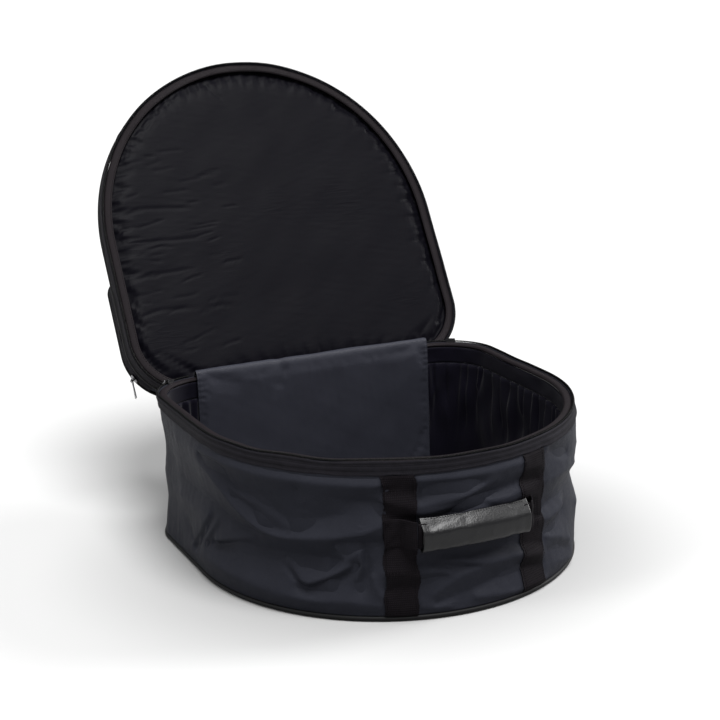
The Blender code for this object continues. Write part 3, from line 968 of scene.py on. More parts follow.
def keep(obj: bpy.types.Object, slot: Slot, body: str, stands_for: Sequence[str] = (),
         bends: tuple[str, str, tuple, tuple] | None = None, painted_light_gain: float = 1.0) -> bpy.types.Object:
    """Gives a finished piece its material and, unless it spans a joint, its body, and hides the frame's nodes
    that it stands for.

    Args:
        obj: The piece.
        slot: Its finish.
        body: The body that it moves with.
        stands_for: The frame's nodes that it replaces.
        bends: Two bodies and two points, for cloth across a joint; only whether they are given is used: such a
            piece is left in place with no body.
        painted_light_gain: How many times paler than its finish it is, as painted light where the piece gets
            too little light.

    Returns:
        The piece.
    """
    obj.data.materials.clear()
    obj.data.materials.append(WARDROBE.material(slot, painted_light_gain))
    if bends:
        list(bends[:2])
        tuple(bends[2])
        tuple(bends[3])
        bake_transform(obj)
    else:
        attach(obj, body)
    if stands_for:
        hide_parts(*stands_for)
    obj.data.calc_loop_triangles()
    log.info("%-26s %-13s %6d triangles", obj.name, slot.value, len(obj.data.loop_triangles))
    return obj


# Geometry Nodes for zip teeth and stitches


class Threader:
    """Runs a repeated part along guide lines with Geometry Nodes."""

    def __init__(self, name: str, looped: bool) -> None:
        """Builds the tree.

        Args:
            name: The tree's name.
            looped: Whether the part is a coil's loop, and otherwise a stitch.
        """
        self.tree = bpy.data.node_groups.new(name, "GeometryNodeTree")
        face = self.tree.interface
        face.new_socket("Geometry", in_out="INPUT", socket_type="NodeSocketGeometry")
        self.inputs = {key: face.new_socket(key, in_out="INPUT", socket_type="NodeSocketFloat")
                       for key in ("Pitch", "Width", "Height", "Wire", "Lean", "Unevenness")}
        self.finish = face.new_socket("Finish", in_out="INPUT", socket_type="NodeSocketMaterial")
        face.new_socket("Geometry", in_out="OUTPUT", socket_type="NodeSocketGeometry")
        group = self.tree.nodes.new("NodeGroupInput")
        self.given = group.outputs
        curve = self._node("GeometryNodeMeshToCurve", None, {"Mesh": self.given["Geometry"]})
        upright = self._node("GeometryNodeSetCurveNormal", {"mode": "Z_UP"}, {"Curve": curve.outputs[0]})
        points = self._node("GeometryNodeCurveToPoints", {"mode": "LENGTH"},
                            {"Curve": upright.outputs[0], "Length": self.given["Pitch"]})
        part = self._loop() if looped else self._stitch()
        random = self._node("FunctionNodeRandomValue", {"data_type": "FLOAT"},
                            {2: 0.8, 3: 1.2, "Seed": 7})
        spread = self._node("ShaderNodeMath", {"operation": "MULTIPLY"},
                            {0: random.outputs[1], 1: self.given["Unevenness"]})
        turn = self._node("ShaderNodeCombineXYZ", None, {0: self.given["Lean"], 1: spread.outputs[0]})
        placed = self._node("GeometryNodeInstanceOnPoints", None, {
            "Points": points.outputs["Points"], "Instance": part, "Rotation": points.outputs["Rotation"]})
        leaning = self._node("GeometryNodeRotateInstances", None,
                             {"Instances": placed.outputs[0], "Rotation": turn.outputs[0]})
        real = self._node("GeometryNodeRealizeInstances", None, {0: leaning.outputs[0]})
        dyed = self._node("GeometryNodeSetMaterial", None,
                          {"Geometry": real.outputs[0], "Material": self.given["Finish"]})
        out = self.tree.nodes.new("NodeGroupOutput")
        self.tree.links.new(dyed.outputs[0], out.inputs[0])

    def _node(self, kind: str, settings: dict | None, inputs: dict) -> bpy.types.Node:
        """Adds a node with its settings, values and links."""
        made = self.tree.nodes.new(kind)
        for key, value in (settings or {}).items():
            setattr(made, key, value)
        for key, value in inputs.items():
            if isinstance(value, bpy.types.NodeSocket):
                self.tree.links.new(value, made.inputs[key])
            else:
                made.inputs[key].default_value = value
        return made

    def _loop(self) -> bpy.types.NodeSocket:
        """One flattened loop of the coil's wire."""
        ring = self._node("GeometryNodeCurvePrimitiveCircle", {"mode": "RADIUS"},
                          {"Resolution": 9, "Radius": 1.0})
        size = self._node("ShaderNodeCombineXYZ", None,
                          {0: self.given["Width"], 1: self.given["Height"], 2: 1.0})
        flat = self._node("GeometryNodeTransform", None,
                          {"Geometry": ring.outputs[0], "Scale": size.outputs[0]})
        wire = self._node("GeometryNodeCurvePrimitiveCircle", {"mode": "RADIUS"},
                          {"Resolution": 4, "Radius": self.given["Wire"]})
        return self._node("GeometryNodeCurveToMesh", None,
                          {"Curve": flat.outputs[0], "Profile Curve": wire.outputs[0]}).outputs[0]

    def _stitch(self) -> bpy.types.NodeSocket:
        """One stitch of thread, plump in its middle."""
        grain = self._node("GeometryNodeMeshUVSphere", None, {"Segments": 6, "Rings": 4, "Radius": 1.0})
        size = self._node("ShaderNodeCombineXYZ", None,
                          {0: self.given["Wire"], 1: self.given["Wire"], 2: self.given["Height"]})
        return self._node("GeometryNodeTransform", None,
                          {"Geometry": grain.outputs[0], "Scale": size.outputs[0]}).outputs[0]

    def run(self, name: str, lines: Sequence[Array], slot: Slot, **sizes: float) -> bpy.types.Object:
        """Threads the part along lines and makes the result a plain mesh.

        Args:
            name: The object's name.
            lines: Guide lines in space.
            slot: The finish.
            **sizes: The tree's inputs by name, in metres or radians.

        Returns:
            The object.
        """
        guide = bpy.data.meshes.new(name + "_guide")
        starts = np.cumsum([0] + [len(line) for line in lines])
        edges = [(s + i, s + i + 1) for s, line in zip(starts, lines) for i in range(len(line) - 1)]
        guide.from_pydata(np.vstack(lines).tolist(), edges, [])
        obj = bpy.data.objects.new(name, guide)
        bpy.context.scene.collection.objects.link(obj)
        step = obj.modifiers.new("thread", "NODES")
        step.node_group = self.tree
        for key, socket in self.inputs.items():
            step[socket.identifier] = float(sizes.get(key.lower(), 0.0))
        step[self.finish.identifier] = WARDROBE.material(slot)
        mesh = bpy.data.meshes.new_from_object(obj.evaluated_get(bpy.context.evaluated_depsgraph_get()))
        obj.modifiers.clear()
        obj.data = mesh
        mesh.shade_smooth()
        return obj


@dataclass
class Threads:
    """The two trees, and the sizes of the bag's zips and stitches.

    Attributes:
        teeth: Runs a coil's loops along a line.
        stitches: Runs stitches along lines.
        coil_width: Width of a coil.
        coil_pitch: Distance between its loops.
        coil_wire: Radius of its wire.
        coil_lean: How far its loops lean.
        stitch_pitch: Distance between stitches.
        stitch_reach: Half a stitch's length.
        thread_radius: Radius of the thread.
    """

    teeth: Threader = field(default_factory=lambda: Threader("zip_teeth", True))
    stitches: Threader = field(default_factory=lambda: Threader("stitch_rows", False))
    coil_width: float = 0.0034
    coil_pitch: float = 0.0017
    coil_wire: float = 0.00036
    coil_lean: float = 0.22
    stitch_pitch: float = 0.0034
    stitch_reach: float = 0.00125
    thread_radius: float = 0.00032

    def coil(self, name: str, line: Array, height: float = 0.003) -> bpy.types.Object:
        """A zip's coil along a line.

        Args:
            name: The object's name.
            line: The coil's centre line in space.
            height: The coil's height.

        Returns:
            The object.
        """
        core = tube(name + "_core", line, height * 0.26, 6, False)
        loops = self.teeth.run(name, [line], Slot.COIL, pitch=self.coil_pitch,
                               width=self.coil_width / 2 - self.coil_wire,
                               height=height / 2 - self.coil_wire, wire=self.coil_wire, lean=self.coil_lean)
        return joined(loops, [core])

    def rows(self, name: str, lines: Sequence[Array], slot: Slot) -> bpy.types.Object:
        """Rows of stitches along lines."""
        return self.stitches.run(name, lines, slot, pitch=self.stitch_pitch, height=self.stitch_reach,
                                 wire=self.thread_radius, unevenness=0.04)


def joined(first: bpy.types.Object, others: Sequence[bpy.types.Object]) -> bpy.types.Object:
    """Joins meshes into the first one and deletes the others."""
    work = bmesh.new()
    for each in (first, *others):
        work.from_mesh(each.data)
    work.to_mesh(first.data)
    work.free()
    for each in others:
        bpy.data.objects.remove(each)
    first.data.shade_smooth()
    return first


# Pads blown up by a short cloth simulation


@dataclass
class Pillow:
    """A pad's crowned face, from a short cloth simulation of its cover.

    Attributes:
        outline: The pad's edge seen from above.
        thickness: Thickness of the block that is blown up.
        voxel: Size of the mesh.
        pressure: Pressure of the stuffing.
        cap: Highest rise.
        frames: Steps of the simulation.
        seam: Reach of the sewn edge.
    """

    outline: Array
    thickness: float = 0.014
    voxel: float = 0.0055
    pressure: float = 4.0
    cap: float = 0.006
    frames: int = 20
    seam: float = 0.004

    def __post_init__(self) -> None:
        self.track = Track(self.outline, True)
        self.face: BVHTree | None = None
        self.face = self._simulated()

    def _simulated(self) -> BVHTree:
        """Blows the cover up and returns its faces."""
        work = bmesh.new()
        low = [work.verts.new((x, y, -self.thickness)) for x, y in self.outline]
        made = bmesh.ops.extrude_face_region(work, geom=[work.faces.new(low)])
        top = [v for v in made["geom"] if isinstance(v, bmesh.types.BMVert)]
        bmesh.ops.translate(work, verts=top, vec=(0, 0, self.thickness))
        bmesh.ops.recalc_face_normals(work, faces=work.faces)
        mesh = bpy.data.meshes.new("pillow")
        work.to_mesh(mesh)
        work.free()
        obj = bpy.data.objects.new("pillow", mesh)
        bpy.context.scene.collection.objects.link(obj)
        remesh = obj.modifiers.new("even", "REMESH")
        remesh.mode = "VOXEL"
        remesh.voxel_size = self.voxel
        graph = bpy.context.evaluated_depsgraph_get()
        obj.data = bpy.data.meshes.new_from_object(obj.evaluated_get(graph))
        obj.modifiers.clear()
        before = point_array(obj.data)
        _, inward = self.track.nearest(before[:, 0], before[:, 1])
        sewn = (inward < self.seam) | (before[:, 2] < -self.thickness * 0.6)
        group = obj.vertex_groups.new(name="sewn")
        group.add([int(i) for i in np.flatnonzero(sewn)], 1.0, "REPLACE")
        cloth = obj.modifiers.new("cover", "CLOTH")
        facts = cloth.settings
        facts.vertex_group_mass = "sewn"
        facts.use_pressure = True
        facts.uniform_pressure_force = self.pressure
        facts.effector_weights.gravity = 0
        facts.quality = 4
        facts.mass = 0.25
        facts.tension_stiffness = 12
        facts.compression_stiffness = 12
        facts.shear_stiffness = 4
        facts.bending_stiffness = 0.4
        facts.shrink_min = -0.02
        cloth.point_cache.frame_start, cloth.point_cache.frame_end = 1, self.frames
        for step in range(1, self.frames + 1):
            bpy.context.scene.frame_set(step)
        graph = bpy.context.evaluated_depsgraph_get()
        blown = bpy.data.meshes.new_from_object(obj.evaluated_get(graph))
        points = point_array(blown)
        points[:, 2] = before[:, 2] + soft_limit(points[:, 2] - before[:, 2], self.cap, self.cap)
        blown.vertices.foreach_set("co", points.ravel())
        tree = BVHTree.FromPolygons([tuple(p) for p in points], [tuple(p.vertices) for p in blown.polygons])
        bpy.context.scene.frame_set(1)
        bpy.data.objects.remove(obj)
        return tree

    def rise(self, x: Array, y: Array) -> Array:
        """How far the face stands up at points seen from above.

        Args:
            x: Their X.
            y: Their Y.

        Returns:
            The rise in metres.
        """
        _, inward = self.track.nearest(x, y)
        crown = self.cap * 0.8 * (1 - np.exp(-inward / 0.03))
        if self.face is None:
            return crown
        down = Vector((0, 0, -1))
        found = []
        for px, py, fallback in zip(x.ravel(), y.ravel(), crown.ravel()):
            hit = self.face.ray_cast(Vector((px, py, 0.1)), down)[0]
            found.append(hit.z if hit is not None and hit.z > -0.002 else 0.0)
        return np.array(found).reshape(x.shape) * ease(inward / 0.006)


@dataclass
class Gathers:
    """Small pleats that run in from a sewn edge.

    Attributes:
        seed: Seed of their unevenness.
        spacing: Distance between pleats.
        height: Their height.
        reach: How far they run in.
    """

    seed: int
    spacing: float
    height: float
    reach: float

    def lift(self, along: Array, inward: Array) -> Array:
        """Height of the pleats.

        Args:
            along: Distances along the seam.
            inward: Distances from the seam.

        Returns:
            The height in metres.
        """
        drift = Ripple(self.seed, self.spacing * 9, self.spacing * 3).over(along, np.zeros_like(along))
        size = Ripple(self.seed + 1, self.spacing * 14, self.spacing * 4).over(along, np.zeros_like(along))
        reach = self.reach * (0.75 + 0.45 * size)
        wave = np.sin(along * (math.pi / self.spacing) + 1.6 * drift + inward * 5)
        pleat = 2 * np.abs(wave) ** 0.8 - 1.2
        fade = ease(1 - inward / np.clip(reach, 0.006, None)) ** 1.3 * ease(inward / 0.0025)
        return self.height * (0.65 + 0.5 * np.abs(size)) * pleat * fade


# The bag body


Line = tuple[tuple[float, float, float], ...]


def front_folds() -> tuple[Line, ...]:
    """The ridges and valleys of the outer wall's front: distance along, height and lift, in millimetres."""
    return (
        ((-471, 153, 2), (-420, 164, 3), (-360, 168, 4), (-300, 169, 4.4), (-216, 168, 4.8),
         (-111, 167, 4.4)),
        ((-460, 176, 0), (-300, 179, -0.4), (-111, 178, -0.6), (120, 178, -0.6)),
        ((-385, 165, 0), (-347, 164, -1.5), (-327, 159, -2.5), (-318, 147, -3), (-307, 140, -3.5),
         (-294, 139, -3.5), (-269, 137, -4), (-247, 128, -4.5), (-229, 118, -5), (-214, 110, -5.5)),
        ((-214, 110, -5.5), (-193, 120, -5.5), (-174, 125, -5.5), (-155, 130, -5), (-149, 143, -4.5),
         (-130, 146, -5), (-108, 141, -5)),
        ((-162, 149, -2.5), (-149, 144, -4.5)),
        ((-209, 158, -1.2), (-209, 137, -3.6), (-214, 113, -5.8)),
        ((-317, 139, -0.8), (-294, 133, -0.8), (-270, 128, -1.2), (-247, 119, -1.8), (-226, 109, -2.6),
         (-214, 107, -3.5)),
        ((-315, 134, -1.4), (-295, 127, -2.4), (-278, 120, -2.6), (-260, 109, -2.6), (-241, 102, -2.4),
         (-222, 102, -2)),
        ((-479, 158, 1.5), (-428, 157, 2.5), (-390, 154, 3), (-357, 146, 3.4), (-330, 134, 3.6),
         (-301, 117, 3.6), (-279, 106, 3.6), (-260, 99, 3.8), (-234, 96, 4.2), (-208, 98, 4.6),
         (-166, 102, 4.8), (-129, 109, 4.4), (-108, 118, 3.8)),
        ((-472, 109, -3.5), (-367, 111, -4.5), (-326, 101, -4.5), (-297, 93, -4.2), (-269, 91, -3.4)),
        ((-354, 59, 0.6), (-323, 71, -0.4), (-298, 79, -1.4), (-269, 89, -3)),
        ((-386, 49, -2), (-349, 58, -6), (-287, 67, -8), (-235, 70, -8), (-208, 70, -8), (-171, 69, -8),
         (-156, 72, -6)),
        ((-158, 89, -5.5), (-134, 92, -5.5), (-111, 95, -4.5)),
        ((-230, 69, -4.8), (-219, 59, -1.8), (-205, 45, 3.2), (-196, 44, 4), (-174, 53, 3.4),
         (-149, 67, 1.4)),
        ((-237, 65, -4.6), (-225, 52, -3.4), (-211, 37, -2.8), (-198, 34, -2.8), (-170, 46, -3.2),
         (-145, 60, -4), (-136, 69, -5)),
        ((-159, 69, -1), (-146, 78, 0.8), (-135, 87, 1.6), (-134, 69, 0.6), (-140, 51, -0.6)),
        ((-128, 85, -6), (-126, 62, -6), (-134, 37, -3.5)),
        ((-465, 15, 1.5), (-358, 32, 4.4), (-293, 29, 5.4), (-238, 25, 5.4), (-185, 23, 4),
         (-146, 25, 3.4), (-113, 20, 2.8)),
        ((-232, 52, -0.6), (-214, 40, 0.4)),
        ((-121, 55, 0.6), (-116, 40, 2.6), (-109, 30, 2.8)),
        ((-448, 21, 1.6), (-399, 57, 1.8), (-367, 90, 1.2)),
        ((-423, 29, -1.2), (-380, 66, -2), (-355, 94, -2.6)),
        ((-394, 40, 1), (-364, 69, 0.6), (-346, 89, -0.8)),
        ((-372, 50, -1.6), (-353, 73, -1.8), (-341, 85, -2.6)),
        ((-478, 53, -1.6), (-443, 47, -2), (-430, 36, -1.4)),
        ((-472, 86, 1.2), (-417, 86, 1.6), (-380, 89, 1)),
        ((-67, 171, 2.8), (-28, 170, 2.6), (37, 169, 2.6), (73, 170, 2.4)),
        ((-65, 147, -5), (-57, 151, -4.6), (-41, 158, -4.2), (-16, 158, -3.6), (15, 158, -1)),
        ((-67, 133, 3), (-53, 134, 3.6), (-35, 138, 3.8), (-20, 143, 3.6), (-4, 148, 3), (16, 155, 1.4),
         (33, 158, 0.8)),
        ((-60, 119, -5.5), (-41, 123, -5.6), (-22, 129, -5.6), (-4, 135, -5.4), (17, 139, -5.2),
         (37, 142, -5), (60, 144, -4.6)),
        ((18, 135, -1.6), (36, 130, 0.6), (58, 129, 1.6)),
        ((-23, 122, -0.5), (-4, 125, 0.6), (17, 124, 0.4)),
        ((-53, 117, -5), (-17, 117, -4.6), (22, 115, -4.8), (58, 113, -5.5)),
        ((-63, 78, -5), (-30, 75, -5), (8, 73, -5), (36, 73, -4.6), (62, 75, -4)),
        ((-35, 72, -1.6), (-12, 66, -0.4), (10, 59, 1.8), (36, 58, 2.6), (70, 57, 2.8)),
        ((-54, 67, -4.2), (-30, 60, -4.6), (-8, 57, -4), (8, 57, -1)),
        ((10, 54, 0.8), (-11, 51, 0.8), (-31, 42, 0.8), (-54, 28, 0.6)),
        ((68, 37, -3.4), (43, 35, -4.2), (21, 33, -4), (-1, 28, -3.4), (-25, 25, -2.4), (-48, 18, -1.4)),
        ((2, 19, 1.2), (35, 15, 2.2), (73, 10, 2.6)),
        ((-64, 59, 1.6), (-45, 59, 1), (-31, 54, 0)),
        ((-64, 47, -2.4), (-45, 50, -2.4), (-33, 51, -1.6)),
        ((-62, 17, 1.6), (-31, 13, 1.4)),
        ((116, 177, 2), (156, 178, 2.6), (227, 167, 3)),
        ((123, 157, 0.2), (167, 144, 2.6), (227, 136, 3)),
        ((126, 171, -1), (147, 160, -1.6), (179, 151, -0.6)),
        ((101, 135, 2.2), (128, 134, 3), (163, 133, 3.6), (215, 127, 4)),
        ((99, 101, -3.4), (123, 102, -4.2), (150, 107, -4.6), (179, 110, -5), (215, 111, -4.4)),
        ((101, 88, 1.6), (123, 86, 2.4), (144, 87, 2.2), (167, 90, 0.6)),
        ((118, 68, -3), (135, 71, -4.6), (156, 75, -6.5), (176, 80, -7.5)),
        ((127, 61, -0.6), (146, 65, -1.4), (167, 70, -3.4)),
        ((118, 64, 0.4), (149, 53, 2.6), (183, 38, 4.2)),
        ((120, 45, -1.2), (146, 41, -0.6), (188, 25, 2)),
        ((117, 25, 1), (149, 22, 2.6), (207, 5, 4.4)),
        ((-105, 160, -4.2), (-87, 159, -4), (-69, 158, -3.6)),
        ((-105, 147, 0.2), (-87, 142, 0.6), (-70, 138, 0.8)),
        ((-106, 132, -4.6), (-88, 126, -4.8), (-69, 121, -5)),
        ((-106, 60, 2.4), (-89, 59, 2.6), (-70, 57, 2.2)),
        ((-104, 40, -1.6), (-87, 41, -2), (-69, 40, -2)),
        ((65, 147, -4), (85, 144, -3.6), (101, 142, -2.4)),
        ((66, 161, 1.2), (86, 159, 1.4), (105, 157, 1.8)),
        ((64, 132, 1), (82, 130, 1.4), (99, 126, 1.4)),
        ((68, 114, -6), (85, 110, -5), (97, 108, -4)),
        ((67, 69, -3), (88, 65, -3.4), (113, 60, -1.6)),
        ((74, 53, 2.8), (90, 51, 3), (106, 47, 2.6)),
        ((67, 39, -3.4), (86, 36, -3), (111, 32, -1.6)),
        ((77, 13, 2.6), (96, 12, 2.6), (117, 10, 2.4)),
    )


def far_folds() -> tuple[Line, ...]:
    """The ridges and valleys of the wall's sides and back, in the same form."""
    return (
        ((215, 111, -4.4), (290, 100, -6), (360, 92, -6), (430, 92, -6), (500, 96, -4)),
        ((230, 142, 3), (310, 136, 4), (400, 132, 4), (500, 140, 3)),
        ((235, 66, 3), (300, 56, 4), (380, 54, 4), (460, 60, 3.5)),
        ((300, 160, -3), (380, 155, -4), (470, 162, -3)),
        ((270, 30, -1.5), (360, 26, -3), (430, 34, -3), (500, 32, -2)),
        ((250, 177, 2.5), (400, 180, 2.5), (520, 178, 2.5)),
        ((545, 60, -2), (600, 78, -4), (655, 76, -3)),
        ((550, 120, 2), (620, 125, 3), (655, 118, 2.5)),
        ((660, 75, 3), (720, 66, 3.5), (800, 70, 2.5)),
        ((680, 114, -3), (730, 100, -4), (790, 106, -3)),
        ((-500, 120, -5), (-560, 125, -7), (-620, 120, -6)),
        ((-500, 60, -4), (-560, 55, -6), (-620, 60, -5)),
        ((-500, 90, -3), (-600, 92, -4)),
        ((-500, 176, 0), (-560, 178, -2), (-620, 178, 0)),
        ((-780, 100, -3), (-730, 85, -4), (-680, 90, -3)),
        ((-790, 130, 2.5), (-720, 125, 3), (-660, 130, 2)),
        ((-800, 50, 2.5), (-700, 45, 2)),
    )


def in_metres(lines: Sequence[Line]) -> tuple[Line, ...]:
    """Lines with their places turned from millimetres into metres, and their lifts left as they are."""
    return tuple(tuple((u * MILLIMETRE, z * MILLIMETRE, lift) for u, z, lift in line) for line in lines)


def hanging_pleats(seed: int, half: float, low: float, high: float) -> tuple[Line, ...]:
    """Uneven pleats that hang from a gathered edge, every second line a valley.

    Args:
        seed: Seed of their places and lengths.
        half: Half the edge's length.
        low: The cloth's lowest height.
        high: Its highest.

    Returns:
        The ridges and valleys.
    """
    rng = np.random.default_rng(seed)
    made: list[Line] = []
    place, inward = -half, True
    while place < half - 0.012:
        lean = rng.normal(0, 0.010)
        foot = high - rng.uniform(0.3, 0.95) * (high - low)
        lift = -rng.uniform(2.0, 3.8) if inward else rng.uniform(0.8, 2.0)
        made.append(((place, high, lift), (place + 0.4 * lean, (high + foot) / 2, 0.9 * lift),
                     (place + lean, foot, 0.15 * lift)))
        place += rng.uniform(0.004, 0.009) if inward else rng.uniform(0.007, 0.020)
        inward = not inward
    return tuple(made)


class Relief:
    """A cloth's lift, stretched like a membrane over lines of ridges and valleys."""

    pitch = 0.0014
    settling = 160
    strength = 12

    def __init__(self, lines: Sequence[Line], half: float, low: float, high: float,
                 gain: float = 1.0) -> None:
        """Settles the membrane from a coarse net to a fine one.

        Args:
            lines: The ridges and valleys.
            half: Half the sheet's length; its ends meet.
            low: Height of the lower edge, which stays flat.
            high: Height of the upper edge, which stays flat.
            gain: Factor on every lift.
        """
        self.half, self.low, self.high = half, low, high
        lift = np.zeros((2, 2))
        for pitch in (8 * self.pitch, 4 * self.pitch, 2 * self.pitch, self.pitch):
            shape = (round(2 * half / pitch), round((high - low) / pitch) + 1)
            self.net = self.resized(lift, shape)
            pull, goal = self.pulls(lines, shape)
            for _ in range(self.settling):
                around = np.roll(self.net, 1, 0) + np.roll(self.net, -1, 0)
                around[:, 1:-1] += self.net[:, 2:] + self.net[:, :-2]
                self.net = (around + goal) / (4 + pull)
                self.net[:, 0] = self.net[:, -1] = 0
            lift = self.net
        soft = 0.5 * self.net + 0.25 * (np.roll(self.net, 1, 0) + np.roll(self.net, -1, 0))
        soft[:, 1:-1] = 0.5 * soft[:, 1:-1] + 0.25 * (soft[:, 2:] + soft[:, :-2])
        self.net = soft * (gain * MILLIMETRE)

    @staticmethod
    def resized(net: Array, shape: tuple[int, int]) -> Array:
        """A net with another number of points."""
        for axis in (0, 1):
            old = np.linspace(0, 1, net.shape[axis])
            now = np.linspace(0, 1, shape[axis])
            net = np.apply_along_axis(lambda row: np.interp(now, old, row), axis, net)
        return net

    def pulls(self, lines: Sequence[Line], shape: tuple[int, int]) -> tuple[Array, Array]:
        """How strongly the lines pull at each point of a net, and that pull times their lift.

        Args:
            lines: The ridges and valleys.
            shape: The net's numbers of points.

        Returns:
            The pull and the goal.
        """
        pull, goal = np.zeros(shape), np.zeros(shape)
        for line in lines:
            scale = (1, 1, 0.0001)
            spots = resample(np.array(line) * scale, 160) / scale
            x = (spots[:, 0] + self.half) / (2 * self.half) * shape[0]
            y = (spots[:, 1] - self.low) / (self.high - self.low) * (shape[1] - 1)
            i, j = np.floor(x).astype(int), np.clip(np.floor(y).astype(int), 0, shape[1] - 2)
            for di, dj in ((0, 0), (1, 0), (0, 1), (1, 1)):
                near = np.clip(1 - np.abs(x - i - di), 0, 1) * np.clip(1 - np.abs(y - j - dj), 0, 1)
                share = self.strength * near
                np.add.at(pull, ((i + di) % shape[0], j + dj), share)
                np.add.at(goal, ((i + di) % shape[0], j + dj), share * spots[:, 2])
        return pull, goal

    def at(self, u: Array, z: Array) -> Array:
        """The lift at points of the sheet.

        Args:
            u: Distances along it.
            z: Heights.

        Returns:
            The lift in metres.
        """
        count, rows = self.net.shape
        x = (u + self.half) / (2 * self.half) * count
        y = np.clip((z - self.low) / (self.high - self.low), 0, 1) * (rows - 1)
        i, j = np.floor(x).astype(int), np.minimum(np.floor(y).astype(int), rows - 2)
        x, y = x - i, y - j
        near, far = i % count, (i + 1) % count
        return ((self.net[near, j] * (1 - y) + self.net[near, j + 1] * y) * (1 - x)
                + (self.net[far, j] * (1 - y) + self.net[far, j + 1] * y) * x)


@dataclass
class BagBody:
    """The bag's base, wall, rim, straps and handle tabs.

    Attributes:
        threads: Makes its zip and stitches.
        side_run: Where its straight sides end.
        zip_end: How far from the middle of the back the rim's zip ends.
        inward: Deepest dent of the wall.
        outward: Highest bulge of the wall.
        depth: How many times deeper than listed the wall's folds are.
        fold_top: Height at which the wall's folds end.
        hem_top: Height at which the wall lies flat under its binding.
        lining_offset: Offset of the lining's face.
        lining_painted_light_gain: How many times paler than the lid's the gathered satin is, as painted light
            for the satin inside the bag.
        floor_inset: How far the floor pad's edge stays inside the outline.
        strap_half: Half the straps' width.
        strap_places: The straps' middles, as distances along the wall.
        strap_rows: Heights of the rows of stitches across the straps.
        pivot_height: Height of the handle's pivot.
    """

    threads: Threads
    side_run: float = 0.145
    zip_end: float = 0.1796
    inward: float = 0.0075
    outward: float = 0.0060
    depth: float = 1.2
    fold_top: float = 0.1925
    hem_top: float = 0.193
    lining_offset: float = -0.0136
    # Painted light: the satin inside the bag is drawn this many times paler than the lid's.
    lining_painted_light_gain: float = 2.4
    floor_inset: float = 0.0139
    strap_half: float = 0.0195
    strap_places: tuple[float, float] = (-0.0883, 0.0905)
    strap_rows: tuple[float, ...] = (0.158, 0.155, 0.062, 0.059, 0.014, 0.011)
    pivot_height: float = 0.109

    def __post_init__(self) -> None:
        """Takes the bag's outline and heights from the frame."""
        low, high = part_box("wall_shell")
        self.track = d_track(high.x, -low.y, self.side_run, high.y - self.side_run)
        self.half = self.track.length / 2
        self.low, self.top = low.z, high.z
        folds = in_metres(front_folds() + far_folds())
        self.relief = Relief(folds, self.half, low.z, self.fold_top, self.depth)
        self.zip_reach = self.half - self.zip_end
        self.long_wave = Ripple(11, 0.16, 0.07, (1.0, 1.0, 1.5))
        self.crinkle = Ripple(12, 0.034, 0.012, (1.0, 1.0, 1.3), 30)

    def dent(self, u: Array, z: Array | float) -> Array:
        """How far the outer wall stands out at a place; dents are negative.

        Args:
            u: Distances from the middle of the front.
            z: Heights.

        Returns:
            The lift in metres.
        """
        place = self.track.points(u, 0.0, z)
        total = self.relief.at(u, z) + 0.0004 * self.long_wave.at(place) + 0.00014 * self.crinkle.at(place)
        behind_grip = ease((0.125 - np.abs(u)) / 0.03) * between(z, 0.070, 0.148, 0.012, 0.012)
        total = np.where(total > 0, total * (1 - 0.9 * behind_grip), total)
        return soft_limit(total, self.inward, self.outward) * between(z, self.low, self.hem_top, 0.006, 0.008)

    def dented(self, u: Array, offset: Array, z: Array) -> tuple[Array, Array, Array]:
        """Moves points out and in with the wall."""
        return u, offset + self.dent(u, z), z

    def lifted(self, u: Array, offset: Array, z: Array) -> tuple[Array, Array, Array]:
        """Raises and lowers points with the rim, the more the nearer they are to it."""
        return u, offset, z + mouth_wave(u, self.track.length) * ease((z - 0.181) / 0.010)

    def on_wall(self, u: Array, offset: float, z: Array | float) -> Array:
        """Points in space that follow the wall's dents at an offset."""
        return self.track.points(u, offset + self.dent(u, z), z)

    def build(self) -> None:
        """Builds every piece of the body but the floor pad."""
        self.base()
        self.wall()
        self.lining()
        self.rim()
        self.straps()
        self.hinge_strip()

    def base(self) -> None:
        """The base panel, its piping, and the foam on it."""
        waves = Ripple(21, 0.20, 0.06)
        rings = ring_shares(26, 1.5)

        def worn(height: float) -> Face:
            """A nearly flat face at a height."""
            return lambda x, y: height + 0.0001 * (waves.over(x, y) - 0.2)

        low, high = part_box("base_panel")
        panel = disc("base_cloth", self.track, 0.0048, level(low.z), worn(high.z - 0.0002), 420, rings)
        keep(panel, Slot.NYLON, "bag_body", ["base_panel"])
        low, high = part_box("base_piping")
        radius = (high.z - low.z) / 2
        line = self.track.points(all_round(self.track, 640), -0.0015, low.z + radius)
        keep(tube("base_piping_cord", line, radius, 12, True), Slot.PIPING, "bag_body", ["base_piping"])
        low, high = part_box("base_foam")
        foam = disc("base_foam_pad", self.track, 0.0050, level(low.z), worn(high.z), 260, rings[::2])
        keep(foam, Slot.FOAM, "bag_body", ["base_foam"])

    def wall(self) -> None:
        """The outer wall cloth and the foam behind it."""
        spans = ((-self.half, -0.5, 110), (-0.5, 0.3, 580), (0.3, self.half, 200))
        u = np.concatenate([np.linspace(*span, endpoint=False) for span in spans])
        profile = section(0, -0.0019, self.low, self.top, 88, 0.0005, 8)
        cloth = band("wall_cloth", self.track, u, profile, self.dented, True)
        keep(cloth, Slot.NYLON, "bag_body", ["wall_shell"])

        def squeezed(u: Array, offset: Array, z: Array) -> tuple[Array, Array, Array]:
            """The foam's outside gives way where the cloth folds in."""
            near = ((0, 0), (0.004, 0), (-0.004, 0), (0, 0.006), (0, -0.006))
            deepest = np.minimum.reduce([self.dent(u + du, z + dz) for du, dz in near])
            give = np.clip(deepest - 0.0003, -0.0078, 0.0)
            return u, offset + np.where(offset > -0.006, give, 0.0), z

        low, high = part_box("wall_foam")
        profile = section(-0.0023, -0.0103, low.z, high.z, 36, 0.001, 6)
        foam = band("wall_foam_pad", self.track, all_round(self.track, 520), profile, squeezed, True)
        keep(foam, Slot.FOAM, "bag_body", ["wall_foam"])

